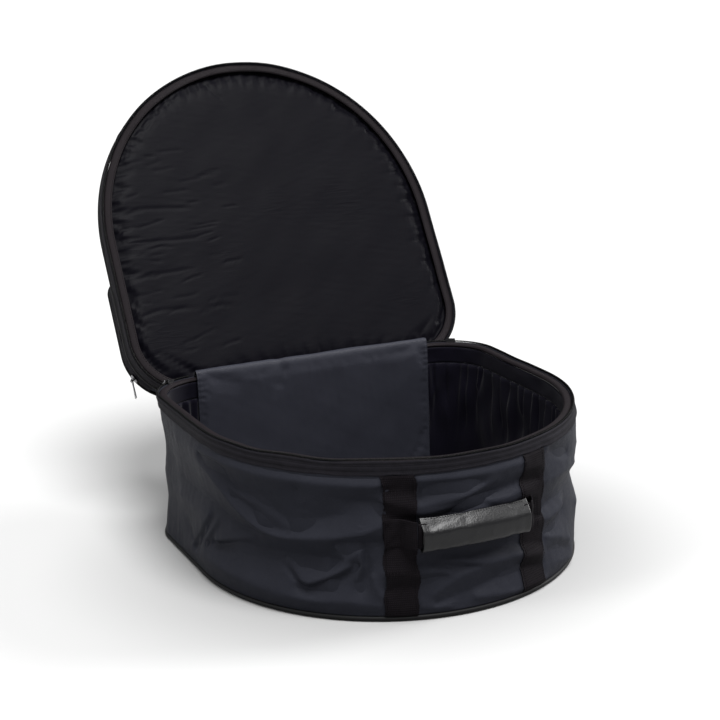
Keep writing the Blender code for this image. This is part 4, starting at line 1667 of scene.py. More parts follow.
    def lining(self) -> None:
        """The gathered satin lining, the smooth facing over it and the rim binding."""
        low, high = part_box("wall_lining")
        pleats = Relief(hanging_pleats(31, self.half, low.z, high.z), self.half, low.z, high.z + 0.006)
        soft = Ripple(33, 0.07, 0.025, (1.0, 1.0, 0.6))

        def gathered(u: Array, offset: Array, z: Array) -> tuple[Array, Array, Array]:
            """Pleats that hang from the facing and spread out lower down."""
            sag = np.sin(np.clip((z - low.z) / (high.z - low.z), 0, 1) * math.pi)
            puff = 0.0016 * (soft.at(self.track.points(u, 0.0, z)) - sag)
            move = pleats.at(u, z) + puff * between(z, low.z, high.z, 0.02, 0.02)
            return u, offset + np.where(offset < self.lining_offset + 0.0015, move, 0.0), z

        profile = section(-0.0106, self.lining_offset, low.z, high.z, 30, 0.0008)
        lining = band("wall_lining_satin", self.track, all_round(self.track, 900), profile, gathered, True,
                      upright=True)
        # Painted light: the wall's satin is drawn paler than the lid's.
        keep(lining, Slot.SATIN, "bag_body", ["wall_lining"], painted_light_gain=self.lining_painted_light_gain)

        low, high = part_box("wall_facing")
        waves = Ripple(34, 0.12, 0.04)

        def eased(u: Array, offset: Array, z: Array) -> tuple[Array, Array, Array]:
            """Slight waves in the facing."""
            wave = 0.0006 * waves.at(self.track.points(u, 0.0, z)) * between(z, low.z, high.z, 0.008, 0.008)
            return u, offset + np.where(offset < -0.0115, wave, 0.0), z

        profile = section(-0.0106, -0.0126, low.z, high.z, 8, 0.0007)
        facing = band("wall_facing_band", self.track, all_round(self.track, 420), profile, eased, True)
        # Painted light: the facing's satin is drawn paler, as on the wall.
        keep(facing, Slot.SATIN, "bag_body", ["wall_facing"], painted_light_gain=self.lining_painted_light_gain)

        low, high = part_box("rim_binding")
        sides = section(-0.0023, -0.0126, low.z, high.z, 3, 0.0016)
        middle = len(sides) // 2
        crown = np.stack((np.linspace(-0.0045, -0.0104, 5),
                          high.z + 0.0007 * np.sin(np.linspace(0.5, 2.6, 5))), 1)
        profile = np.vstack((sides[:middle], crown, sides[middle:]))
        binding = band("rim_binding_band", self.track, all_round(self.track, 620), profile, self.lifted, True)
        keep(binding, Slot.BINDING, "bag_body", ["rim_binding"])

    def floor_pad(self, crown: Face) -> None:
        """The padded floor.

        Args:
            crown: Rise of its face by X and Y.
        """
        low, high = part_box("base_lining")
        edge = Gathers(36, 0.012, 0.0007, 0.018)

        def face(x: Array, y: Array) -> Array:
            """Its upper side."""
            along, inward = self.track.nearest(x, y)
            return high.z - 0.0006 + 0.45 * crown(x, y) + edge.lift(along, inward - self.floor_inset)

        pad = disc("base_lining_satin", self.track, self.floor_inset, level(low.z), face, 420,
                   ring_shares(32, 1.6))
        # Painted light: the floor pad's satin is drawn paler, as on the wall.
        keep(pad, Slot.SATIN, "bag_body", ["base_lining"], painted_light_gain=self.lining_painted_light_gain)

    def rim(self) -> None:
        """The zip tape and the coil round the rim, with two rows of stitches."""
        reach = self.zip_reach
        wobble = Ripple(41, 0.05, 0.018)

        def tape(along: Array, offset: Array, z: Array) -> tuple[Array, Array, Array]:
            """The tape follows the wall and its lower edge wanders."""
            drift = wobble.at(self.track.points(along, 0.0, 0.0)) * ease((0.186 - z) / 0.008)
            _, _, waved = self.lifted(along, offset, z)
            return along, offset + self.dent(along, z), waved + 0.0004 * drift

        low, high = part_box("rim_zip_tape")
        piece = band("rim_zip_tape_band", self.track, np.linspace(-reach, reach, 560),
                     section(*TAPE_FACES, low.z, high.z, 9), tape)
        keep(piece, Slot.TAPE, "bag_body", ["rim_zip_tape"])
        span = np.linspace(-reach + 0.003, reach - 0.003, 700)
        rows = [self.on_wall(span, 0.0016, low.z + above) for above in (0.0022, 0.0125)]
        low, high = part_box("rim_zip_coil")
        places = np.linspace(-reach, reach, 900)
        heights = (low.z + high.z) / 2 + mouth_wave(places, self.track.length)
        line = self.track.points(places, COIL_OFFSET, heights)
        teeth = self.threads.coil("rim_zip_teeth", line, high.z - low.z)
        keep(teeth, Slot.COIL, "bag_body", ["rim_zip_coil"])
        keep(self.threads.rows("rim_tape_stitches", rows, Slot.TAPE), Slot.TAPE, "bag_body")

    def straps(self) -> None:
        """The two straps, the handle's tabs and their stitches."""
        low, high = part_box("left_strap")
        wander = Ripple(51, 0.05, 0.02)
        half = self.strap_half - 0.003
        heights = np.linspace(low.z + 0.004, high.z - 0.002, 90)
        rows: list[Array] = []
        for place, word in zip(self.strap_places, ("left", "right")):

            def strap(along: Array, offset: Array, z: Array) -> tuple[Array, Array, Array]:
                """The strap lies on the wall, with wavy selvedges."""
                edge = np.clip(np.abs(along - place) / self.strap_half, 0, 1)
                sway = 0.0016 * wander.over(z, np.full_like(z, place))
                sway = sway + 0.0004 * np.sin(z * 900 + along * 40) * edge ** 6
                thin = 0.0011 + (offset - 0.0011) * (1 - 0.55 * ease((edge - 0.93) / 0.07))
                return along + sway, thin + self.dent(along, z), z

            u = np.linspace(place - self.strap_half, place + self.strap_half, 26)
            profile = section(0.0019, 0.0003, low.z, high.z, 70)
            piece = band(word + "_strap_webbing", self.track, u, profile, strap)
            keep(piece, Slot.WEBBING, "bag_body", [word + "_strap"])
            across = np.linspace(place - half, place + half, 30)
            rows += [self.on_wall(across, 0.0021, height) for height in self.strap_rows]
            rows += [self.on_wall(np.full(90, place + side * half), 0.0020, heights) for side in (-1, 1)]
        keep(self.threads.rows("strap_stitches", rows, Slot.WEBBING), Slot.WEBBING, "bag_body")
        for side, word in ((-1, "left"), (1, "right")):
            self.tab(side, word)

    def tab(self, side: int, word: str) -> None:
        """One of the tabs that carry the handle.

        Args:
            side: -1 on the left and 1 on the right.
            word: The side's name.
        """
        low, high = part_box(word + "_handle_tab")
        near, far = sorted((abs(low.x), abs(high.x)))
        near += 0.0004
        front, middle = low.y + 0.0008, (low.z + high.z) / 2
        shares = np.linspace(0, 1, 22)
        x = side * (far + (near - far) * shares)
        lift = ease((shares - 0.52) / 0.48)
        sewn_x, sewn_y = self.track.at(x * 1.02, 0.0030 + self.dent(x * 1.02, middle) * (1 - lift))
        line = np.stack((sewn_x * (1 - lift) + x * lift, sewn_y * (1 - lift) + front * lift), 1)
        track = Track(resample(line if side < 0 else line[::-1], 26), False)
        wave = Ripple(55 + side, 0.03, 0.012)

        def soft(along: Array, offset: Array, z: Array) -> tuple[Array, Array, Array]:
            """The tab's edges curl slightly."""
            edge = np.abs(z - middle) / (high.z - low.z) * 2
            return along, offset + 0.0005 * wave.over(along, z) - 0.0004 * edge ** 4, z

        piece = band(word + "_tab_webbing", track, np.linspace(track.u[0], track.u[-1], 44),
                     section(0.0008, -0.0008, low.z, high.z, 24), soft)
        bends = ("bag_body", "handle", (side * 0.098, front + 0.03, self.pivot_height),
                 (side * near, front, self.pivot_height))
        keep(piece, Slot.WEBBING, "bag_body", [word + "_handle_tab"], bends)
        ends = [share * track.length for share in sorted((-0.12 * side, 0.45 * side))]
        heights = (low.z + 0.004, high.z - 0.004)
        box_and_cross = ((0, 0), (1, 0), (1, 1), (0, 1), (0, 0), (1, 1), (1, 0), (0, 1))
        route = resample(np.array([(ends[i], heights[j]) for i, j in box_and_cross]), 160)
        line = track.points(route[:, 0], 0.0010, route[:, 1])
        rows = self.threads.rows(word + "_tab_stitches", [line], Slot.WEBBING)
        keep(rows, Slot.WEBBING, "bag_body", (), bends)

    def hinge_strip(self) -> None:
        """The webbing strip over the hinge seam, from the back of the wall up to the lid."""
        low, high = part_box("hinge_strip")
        start = low.y + 0.0006
        route = rounded_line([(start, 0.150), (start, 0.1705), (0.2240, 0.1728), (0.2262, 0.1722),
                              (0.2400, 0.1632)])
        piece = curtain("hinge_strip_webbing", route, (high.x - low.x) / 2, 0.0011, 60, 56, None)
        keep(piece, Slot.WEBBING, "bag_body", ["hinge_strip"],
             ("bag_body", "lid", (0, 0.2236, 0.171), (0, 0.2262, 0.1735)))


def curtain(name: str, route: Array, half_width: float, thickness: float | Array, across: int, down: int,
            shape: Callable[[Array, Array, Array], Array] | None) -> bpy.types.Object:
    """A strip of cloth that keeps one cross section from left to right.

    Args:
        name: The object's name.
        route: The cross section's centre line, in Y and Z.
        half_width: Half the strip's width.
        thickness: Its thickness, or one for each point of the route.
        across: Sections from left to right.
        down: Points along the route.
        shape: Extra offset from X, the distance along the route and the side, 1 on the front.

    Returns:
        The object.
    """
    line = resample(route, down)
    tangent = np.gradient(line, axis=0)
    tangent /= np.linalg.norm(tangent, axis=1, keepdims=True)
    normal = np.stack((-tangent[:, 1], tangent[:, 0]), 1)
    thick = np.atleast_1d(thickness)
    half = np.interp(np.linspace(0, 1, down), np.linspace(0, 1, len(thick)), thick) / 2
    run = np.concatenate(([0.0], np.cumsum(np.linalg.norm(np.diff(line, axis=0), axis=1))))
    x = np.linspace(-half_width, half_width, across)
    loop_line, loop_normal, loop_half, loop_run = (
        np.concatenate((part, part[::-1])) for part in (line, normal, half, run))
    loop_side = np.repeat((1.0, -1.0), down)
    gx, gr = np.meshgrid(x, loop_run, indexing="ij")
    edge = 1 - 0.6 * ease((np.abs(gx) - half_width + 0.0015) / 0.0015)
    tip = 1 - 0.6 * (1 - ease(np.minimum(gr, run[-1] - gr) / 0.0012))
    offset = loop_side * loop_half * np.minimum(edge, tip)
    if shape:
        offset = offset + shape(gx, gr, np.broadcast_to(loop_side, gx.shape))
    grid = np.stack((gx, loop_line[:, 0] + loop_normal[:, 0] * offset,
                     loop_line[:, 1] + loop_normal[:, 1] * offset), 2)
    around = np.append(loop_run, loop_run[0])
    uv = np.stack(np.meshgrid(np.append(x, x[-1]), around, indexing="ij"), axis=2)
    return loft(name, grid, uv, False)


@dataclass
class CarryHandle:
    """The carry handle: foam core, webbing and a wrapped grip.

    Attributes:
        threads: Makes its stitches.
        wrap_thickness: Thickness of the wrap.
        bow: How much the grip bows.
        dips: Where folds run round the wrap, from its middle.
        seam_angles: Angles of the two rows of stitches.
    """

    threads: Threads
    wrap_thickness: float = 0.0015
    bow: float = 0.005
    dips: tuple[float, ...] = (-0.050, -0.015, 0.047)
    seam_angles: tuple[float, float] = (math.pi - 1.15, math.pi - 1.35)

    def __post_init__(self) -> None:
        """Takes the grip's place and size from the frame."""
        low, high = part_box("handle_wrap")
        self.half = (high.x - low.x) / 2
        self.height = high.z - low.z
        self.middle_z = (high.z + low.z) / 2
        self.depth = high.y - low.y - self.bow
        self.front = low.y

    def build(self) -> None:
        """Builds the wrap, the foam core and the webbing."""
        self.wrap()
        self.core()
        self.webbing()

    def centre(self, x: Array) -> Array:
        """Y of the grip's centre line at places across the bag."""
        return self.front + self.depth / 2 + self.bow * (x / self.half) ** 2

    def oval(self, x: Array, angles: Array, shrink: float) -> Array:
        """Points round the grip, whose upper front is cut flat.

        Args:
            x: Places across the bag.
            angles: Angles round it.
            shrink: How far inside its surface they lie.

        Returns:
            The points.
        """
        cy, cz = np.cos(angles), np.sin(angles)
        cy = np.where((cy > 0) & (cz > 0), np.abs(cy) ** 0.6, cy)
        slant = 2.1 * (cz - 0.26) - 1
        above = cy - slant
        cy = np.where(cz > -0.5, slant + 0.5 * (above + np.sqrt(above ** 2 + 0.05)), cy)
        return np.stack((x, self.centre(x) + (self.depth / 2 - shrink) * cy,
                         self.middle_z + (self.height / 2 - shrink) * cz), -1)

    def wrap(self) -> None:
        """The leatherette wrap, with creases, open ends and two rows of stitches."""
        x = np.linspace(-self.half, self.half, 150)
        gx, ga = np.meshgrid(x, np.linspace(0, FULL_TURN, 64, endpoint=False), indexing="ij")
        skin = self.oval(gx, ga, 0.0)
        folds = Ripple(61, 0.07, 0.022, (0.6, 1.0, 1.3), 22).at(skin)
        lift = 0.0003 * folds + 0.0004 * np.clip(1 - np.abs(folds), 0, 1) ** 4 - 0.0007
        dip = 0.0007 * sum(np.exp(-((gx - at) / 0.005) ** 2) for at in self.dips)
        outward = skin - self.oval(gx, ga, 0.004)
        outward /= np.linalg.norm(outward, axis=2, keepdims=True)
        fade = ease((self.half - np.abs(gx)) / 0.010)
        amount = np.clip((lift - dip * np.abs(np.sin(ga))) * fade, -0.0035, 0.0012)[..., None]
        inner = self.oval(gx, ga, self.wrap_thickness) + outward * np.minimum(amount, 0.0)
        there_and_back = np.concatenate((skin + outward * amount, inner[::-1])).transpose(1, 0, 2)
        girth = math.pi * (self.height + self.depth) / 2
        turns, run = np.meshgrid(np.linspace(0, girth, 65), np.concatenate((x, x[::-1], x[:1])), indexing="ij")
        piece = loft("grip_wrap", there_and_back, np.stack((run, turns), 2), True)
        keep(piece, Slot.LEATHER, "handle", ["handle_wrap"])
        span = np.linspace(-0.9 * self.half, 0.9 * self.half, 80)
        rows = [self.oval(span, np.full(80, angle), -0.0001) for angle in self.seam_angles]
        keep(self.threads.rows("grip_stitches", rows, Slot.WEBBING), Slot.WEBBING, "handle")

    def core(self) -> None:
        """The foam core."""
        low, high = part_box("handle_core")
        x = np.linspace(low.x, high.x, 40)
        angles = np.linspace(0, FULL_TURN, 28, endpoint=False) + FULL_TURN / 56
        gx, ga = np.meshgrid(x, angles, indexing="ij")
        uv = np.stack(np.meshgrid(np.append(x, x[-1]), np.arange(29) * 0.003, indexing="ij"), axis=2)
        core = loft("grip_core_foam", self.oval(gx, ga, self.wrap_thickness + 0.0036), uv, False)
        keep(core, Slot.FOAM, "handle", ["handle_core"])

    def webbing(self) -> None:
        """The webbing that runs through the grip."""
        low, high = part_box("handle_webbing")
        x = np.linspace(low.x, high.x, 60)
        track = Track(np.stack((x, self.centre(x)), 1), False)
        wave = Ripple(66, 0.03, 0.012)

        def soft(along: Array, offset: Array, z: Array) -> tuple[Array, Array, Array]:
            """Slight waves in the webbing, which is gathered narrower inside the wrap."""
            narrow = 1 - 0.36 * ease((self.half - 0.003 - np.abs(along)) / 0.010)
            height = self.middle_z + (z - self.middle_z) * narrow
            return along, offset + 0.0003 * wave.over(along, z), height

        piece = band("handle_webbing_strap", track, np.linspace(track.u[0], track.u[-1], 70),
                     section(0.0008, -0.0008, low.z, high.z, 20), soft)
        keep(piece, Slot.WEBBING, "handle", ["handle_webbing"])


def thin_wrinkles(seed: int, count: int) -> list[Crease]:
    """Thin wrinkles of the lid's satin, most of them level and near its left edge.

    Args:
        seed: Seed of their places.
        count: How many there are, apart from five long ones.

    Returns:
        The wrinkles.
    """
    rng = np.random.default_rng(seed)
    made = []
    for _ in range(count):
        x = -0.228 + 0.17 * rng.random() ** 1.6
        y = rng.uniform(-0.13, 0.17)
        length, lean = rng.uniform(0.012, 0.045), rng.normal(0.10, 0.12)
        bow = rng.normal(0, 0.0012)
        points = ((x, y), (x + length / 2, y - lean * length / 2 + bow), (x + length, y - lean * length))
        made.append(Crease(points, -rng.uniform(0.0002, 0.0005), 0.0012, 0.0017, 0.0004))
    long_ones = (
        ((-0.234, 0.060), (-0.190, 0.052), (-0.130, 0.050)),
        ((-0.236, 0.012), (-0.170, 0.004), (-0.105, 0.006)),
        ((-0.236, -0.034), (-0.180, -0.046), (-0.110, -0.040)),
        ((-0.228, 0.112), (-0.190, 0.104), (-0.140, 0.108)),
        ((-0.052, -0.236), (-0.040, -0.214), (-0.026, -0.200)),
    )
    return made + [Crease(points, -0.0006, 0.0018, 0.0026, 0.0005) for points in long_ones]


@dataclass
class LidPart:
    """Pieces that are shaped with the lid shut and then turned open with it.

    Attributes:
        threads: Makes the zips and the stitches.
        turn: The turn that opens the lid.
    """

    threads: Threads
    turn: Matrix

    def keep(self, obj: bpy.types.Object, slot: Slot, nodes: Sequence[str] = (),
             body: str = "lid") -> bpy.types.Object:
        """Opens a piece with the lid and keeps it."""
        return keep(opened(obj, self.turn), slot, body, nodes)


@dataclass
class Lid(LidPart):
    """The padded lid with its zip, gusset, binding, lining and hinge panel.

    Attributes:
        bag: The bag body, whose outline it takes.
        overhang: How far it stands out over the bag.
        zip_end: How far from the middle of the back its zip ends.
        coil_height: Height of the middle of its zip's coil.
        stitch_height: Height of the stitches of its binding.
        edge_low: Height of its lower edge, where the gusset and the binding start.
        binding_top: Height of the binding's upper edge.
        tape_top: Height of the zip tape's upper edge.
        gusset_top: Height of the gusset's upper edge.
        satin: Heights of the lining's face and back.
        satin_inset: How far the lining's sewn edge stays inside the outline.
        foam: Heights of the foam's faces.
        piping_height: Height of the piping's middle.
        panel: Heights of the outer panel's faces.
        panel_inset: How far the outer panel's edge stays inside the outline.
        binding_half: Half the width of the binding on the hinge edge.
        crest: Distance along the hinge panel at which it folds over the rim.
    """

    bag: BagBody
    overhang: float = 0.0015
    zip_end: float = 0.1800
    coil_height: float = 0.2015
    stitch_height: float = 0.2028
    edge_low: float = 0.2033
    binding_top: float = 0.2053
    tape_top: float = 0.2198
    gusset_top: float = 0.2212
    satin: tuple[float, float] = (0.2108, 0.2132)
    satin_inset: float = 0.0080
    foam: tuple[float, float] = (0.2134, 0.2231)
    piping_height: float = 0.2245
    panel: tuple[float, float] = (0.2235, 0.2253)
    panel_inset: float = 0.0038
    binding_half: float = 0.1725
    crest: float = 0.188

    def __post_init__(self) -> None:
        """Takes the lid's outline from the bag's."""
        low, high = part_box("wall_shell")
        run = self.bag.side_run
        self.track = d_track(high.x, -low.y, run, high.y - run, self.overhang)
        self.soft = Ripple(71, 0.14, 0.05, (1.0, 1.0, 2.0))
        self.crinkle = Ripple(72, 0.03, 0.012, waves=24)

    def build(self) -> Pillow:
        """Builds every piece of the lid.

        Returns:
            The lid's pad, whose crown the floor pad shares.
        """
        self.edge()
        pad = self.padding()
        self.outside()
        self.hinge()
        return pad

    def wave(self, u: Array, z: Array, size: float) -> Array:
        """Slight waves of the lid's cloth at places along its edge."""
        place = self.track.points(u, 0.0, z)
        return size * (self.soft.at(place) + 0.45 * self.crinkle.at(place))

    def edge(self) -> None:
        """The coil, tape, gusset, binding and piping round the lid."""
        length = self.track.length
        reach = length / 2 - self.zip_end
        places = np.linspace(-reach, reach, 900)
        line = self.track.points(places, COIL_OFFSET, self.coil_height + mouth_wave(places, length))
        self.keep(self.threads.coil("lid_zip_teeth", line), Slot.COIL, ["lid_zip_coil"])

        def sway(along: Array, offset: Array, z: Array) -> tuple[Array, Array, Array]:
            """The gusset's cloth waves between its two seams."""
            free = between(z, self.edge_low, self.gusset_top + 0.0002, 0.006, 0.006)
            lift = mouth_wave(along, length) * (1 - ease((z - self.edge_low) / 0.012))
            return along, offset + self.wave(along, z, 0.0007) * free, z + lift

        def wavy(along: Array, offset: Array, z: Array) -> tuple[Array, Array, Array]:
            """The binding rises and falls with the lid's edge."""
            return along, offset, z + mouth_wave(along, length) + self.wave(along, z, 0.0002)

        tape = band("lid_zip_tape_band", self.track, np.linspace(-reach, reach, 560),
                    section(*TAPE_FACES, self.edge_low, self.tape_top, 9), sway)
        self.keep(tape, Slot.TAPE, ["lid_zip_tape"])
        profile = section(0, -0.0018, self.edge_low, self.gusset_top, 10)
        gusset = band("lid_gusset_cloth", self.track, all_round(self.track, 560), profile, sway, True)
        self.keep(gusset, Slot.NYLON, ["lid_gusset"])
        sides = section(-0.0023, -0.0132, self.edge_low, self.binding_top, 3, 0.0009)
        crown = np.stack((np.linspace(-0.0120, -0.0034, 7),
                          self.edge_low - 0.0007 * np.sin(np.linspace(0.3, 2.85, 7))), 1)
        binding = band("lid_binding_band", self.track, all_round(self.track, 620), np.vstack((sides, crown)),
                       wavy, True)
        self.keep(binding, Slot.BINDING, ["lid_binding"])
        line = self.track.points(all_round(self.track, 640), -0.0005, self.piping_height)
        self.keep(tube("lid_piping_cord", line, 0.003, 12, True), Slot.PIPING, ["lid_piping"])
        span = np.linspace(-length / 2, length / 2, 900)
        heights = self.stitch_height + mouth_wave(span, length)
        rows = [self.track.points(span, offset, heights) for offset in (-0.0036, -0.0116)]
        self.keep(self.threads.rows("lid_binding_stitches", rows, Slot.BINDING), Slot.BINDING)

    def padding(self) -> Pillow:
        """The padded satin lining with its wrinkles, and the foam behind it.

        Returns:
            The pad's crown.
        """
        pad = Pillow(self.track.points(all_round(self.track, 220), -self.satin_inset, 0.0)[:, :2])
        gathers = Gathers(81, 0.0052, 0.0004, 0.022)
        puckers = Gathers(83, 0.013, 0.0003, 0.045)
        waves = Ripple(85, 0.12, 0.04)
        fine = Ripple(86, 0.022, 0.009, (0.5, 1.6, 1.0), 26)
        wrinkles = thin_wrinkles(88, 56)

        def face(px: Array, py: Array) -> Array:
            """Height of the satin, which hangs below the foam when the lid is shut."""
            along, inward = self.track.nearest(px, py)
            inward = np.clip(inward - self.satin_inset, 0, None)
            left = 0.02 + ease((-px - 0.09) / 0.11) * ease((0.15 - py) / 0.05)
            small = left * (gathers.lift(along, inward) + 0.8 * puckers.lift(along, inward))
            small = small + 0.00025 * waves.over(px, py) + 0.00004 * fine.over(px, py)
            small = small + sum(wrinkle.lift(px, py) for wrinkle in wrinkles)
            seam = 0.0022 * (1 - ease(inward / 0.004))
            return self.satin[0] - pad.rise(px, py) - small * ease(inward / 0.003) + seam

        rings = ring_shares(90, 1.6)
        lining = disc("lid_lining_satin", self.track, self.satin_inset - 0.0005, face, level(self.satin[1]),
                      760, rings)
        self.keep(lining, Slot.SATIN, ["lid_lining"])
        foam = disc("lid_foam_pad", self.track, 0.0055, *map(level, self.foam), 260, rings[2::8])
        self.keep(foam, Slot.FOAM, ["lid_foam"])
        return pad

    def outside(self) -> None:
        """The outer panel of the lid."""
        waves = Ripple(91, 0.20, 0.06)
        fine = Ripple(92, 0.035, 0.013, waves=24)
        folds = (
            Crease(((-0.19, -0.02), (-0.12, -0.05), (-0.03, -0.04)), -0.0016, 0.010, 0.014),
            Crease(((0.05, -0.10), (0.10, -0.07), (0.17, -0.08)), -0.0016, 0.010, 0.014),
            Crease(((-0.10, -0.16), (-0.04, -0.13), (0.03, -0.15)), -0.0014, 0.010, 0.014),
        )

        def face(px: Array, py: Array) -> Array:
            """Height of the outer cloth."""
            _, inward = self.track.nearest(px, py)
            inward = np.clip(inward - self.panel_inset, 0, None)
            lift = 0.0009 * waves.over(px, py) + 0.0003 * fine.over(px, py)
            lift = lift + sum(f.lift(px, py) for f in folds) + 0.0030 * (1 - np.exp(-inward / 0.05))
            clear_of_pocket = 1 - 0.9 * ease((py - 0.015) / 0.015)
            return self.panel[1] + np.clip(lift, -0.0012, 0.006) * ease(inward / 0.012) * clear_of_pocket

        panel = disc("lid_panel_cloth", self.track, self.panel_inset, level(self.panel[0]), face, 560,
                     ring_shares(48, 1.4))
        self.keep(panel, Slot.NYLON, ["lid_panel"])

    def hinge(self) -> None:
        """The padded hinge panel, over the rim to the lid, and the binding on the lid's edge."""
        low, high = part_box("hinge_panel")
        half = (high.x - low.x) / 2
        front = low.y
        route = rounded_line([(front + 0.0018, low.z + 0.0003), (front + 0.0018, 0.120),
                              (front + 0.0020, 0.186), (front + 0.0024, 0.1985), (0.2095, 0.2050),
                              (0.2145, 0.2045), (0.2178, 0.1965), (0.2212, 0.1885), (0.2256, 0.1802),
                              (0.2268, 0.1790)])
        thickness = np.array((0.0034, 0.0036, 0.0036, 0.0036, 0.0036, 0.0036, 0.0034, 0.0030, 0.0022, 0.0014))
        outline = [(-half, 0.0), (half, 0.0), (half, 0.190), (-half, 0.190), (-half, 0.0)]
        pad = Pillow(resample(np.array(outline), 161)[:-1], voxel=0.006, cap=0.0032)
        pleats = Gathers(95, 0.0085, 0.0008, 0.020)
        waves = Ripple(96, 0.13, 0.045)
        fine = Ripple(97, 0.026, 0.011, waves=24)
        top = self.crest
        folds = [Crease(tuple((x, top + beyond) for x, beyond in points), rise, above, above + 0.002)
                 for points, rise, above in (
                     (((-0.054, 0.012), (-0.049, -0.012), (-0.058, -0.040)), -0.0018, 0.005),
                     (((-0.168, 0.004), (-0.140, -0.016), (-0.105, -0.022)), -0.0018, 0.006),
                     (((0.165, 0.002), (0.130, -0.012), (0.098, -0.012)), -0.0014, 0.006))]

        def puff(px: Array, run: Array, side: Array) -> Array:
            """The pad's face swells, and both faces share the folds at the crest."""
            front_side = side > 0
            face = 0.5 * pad.rise(px, np.clip(run, 0.001, 0.189)) * ease((0.186 - run) / 0.02)
            ends = pleats.lift(run, half - np.abs(px)) * ease((run - 0.12) / 0.04)
            small = 0.0004 * waves.over(px, run) + 0.00006 * fine.over(px, run)
            shared = (sum(f.lift(px, run) for f in folds) + small) * (0.5 + 0.5 * front_side)
            return ((face + ends) * front_side + shared) * ease(run / 0.01)

        panel = curtain("hinge_panel_cloth", route, half, thickness, 150, 110, puff)
        keep(panel, Slot.HINGE, "bag_body", ["hinge_panel"],
             ("bag_body", "lid", (0, 0.2085, 0.19), (0, 0.2258, 0.19)))
        edge = np.array([(-self.binding_half, 0.22175), (self.binding_half, 0.22175)])
        track = Track(resample(edge, 60), False)
        piece = band("lid_hinge_binding_band", track, np.linspace(track.u[0], track.u[-1], 60),
                     section(0.00175, -0.00175, 0.2001, 0.2030, 2, 0.0010))
        self.keep(piece, Slot.WEBBING, ["lid_hinge_binding"])


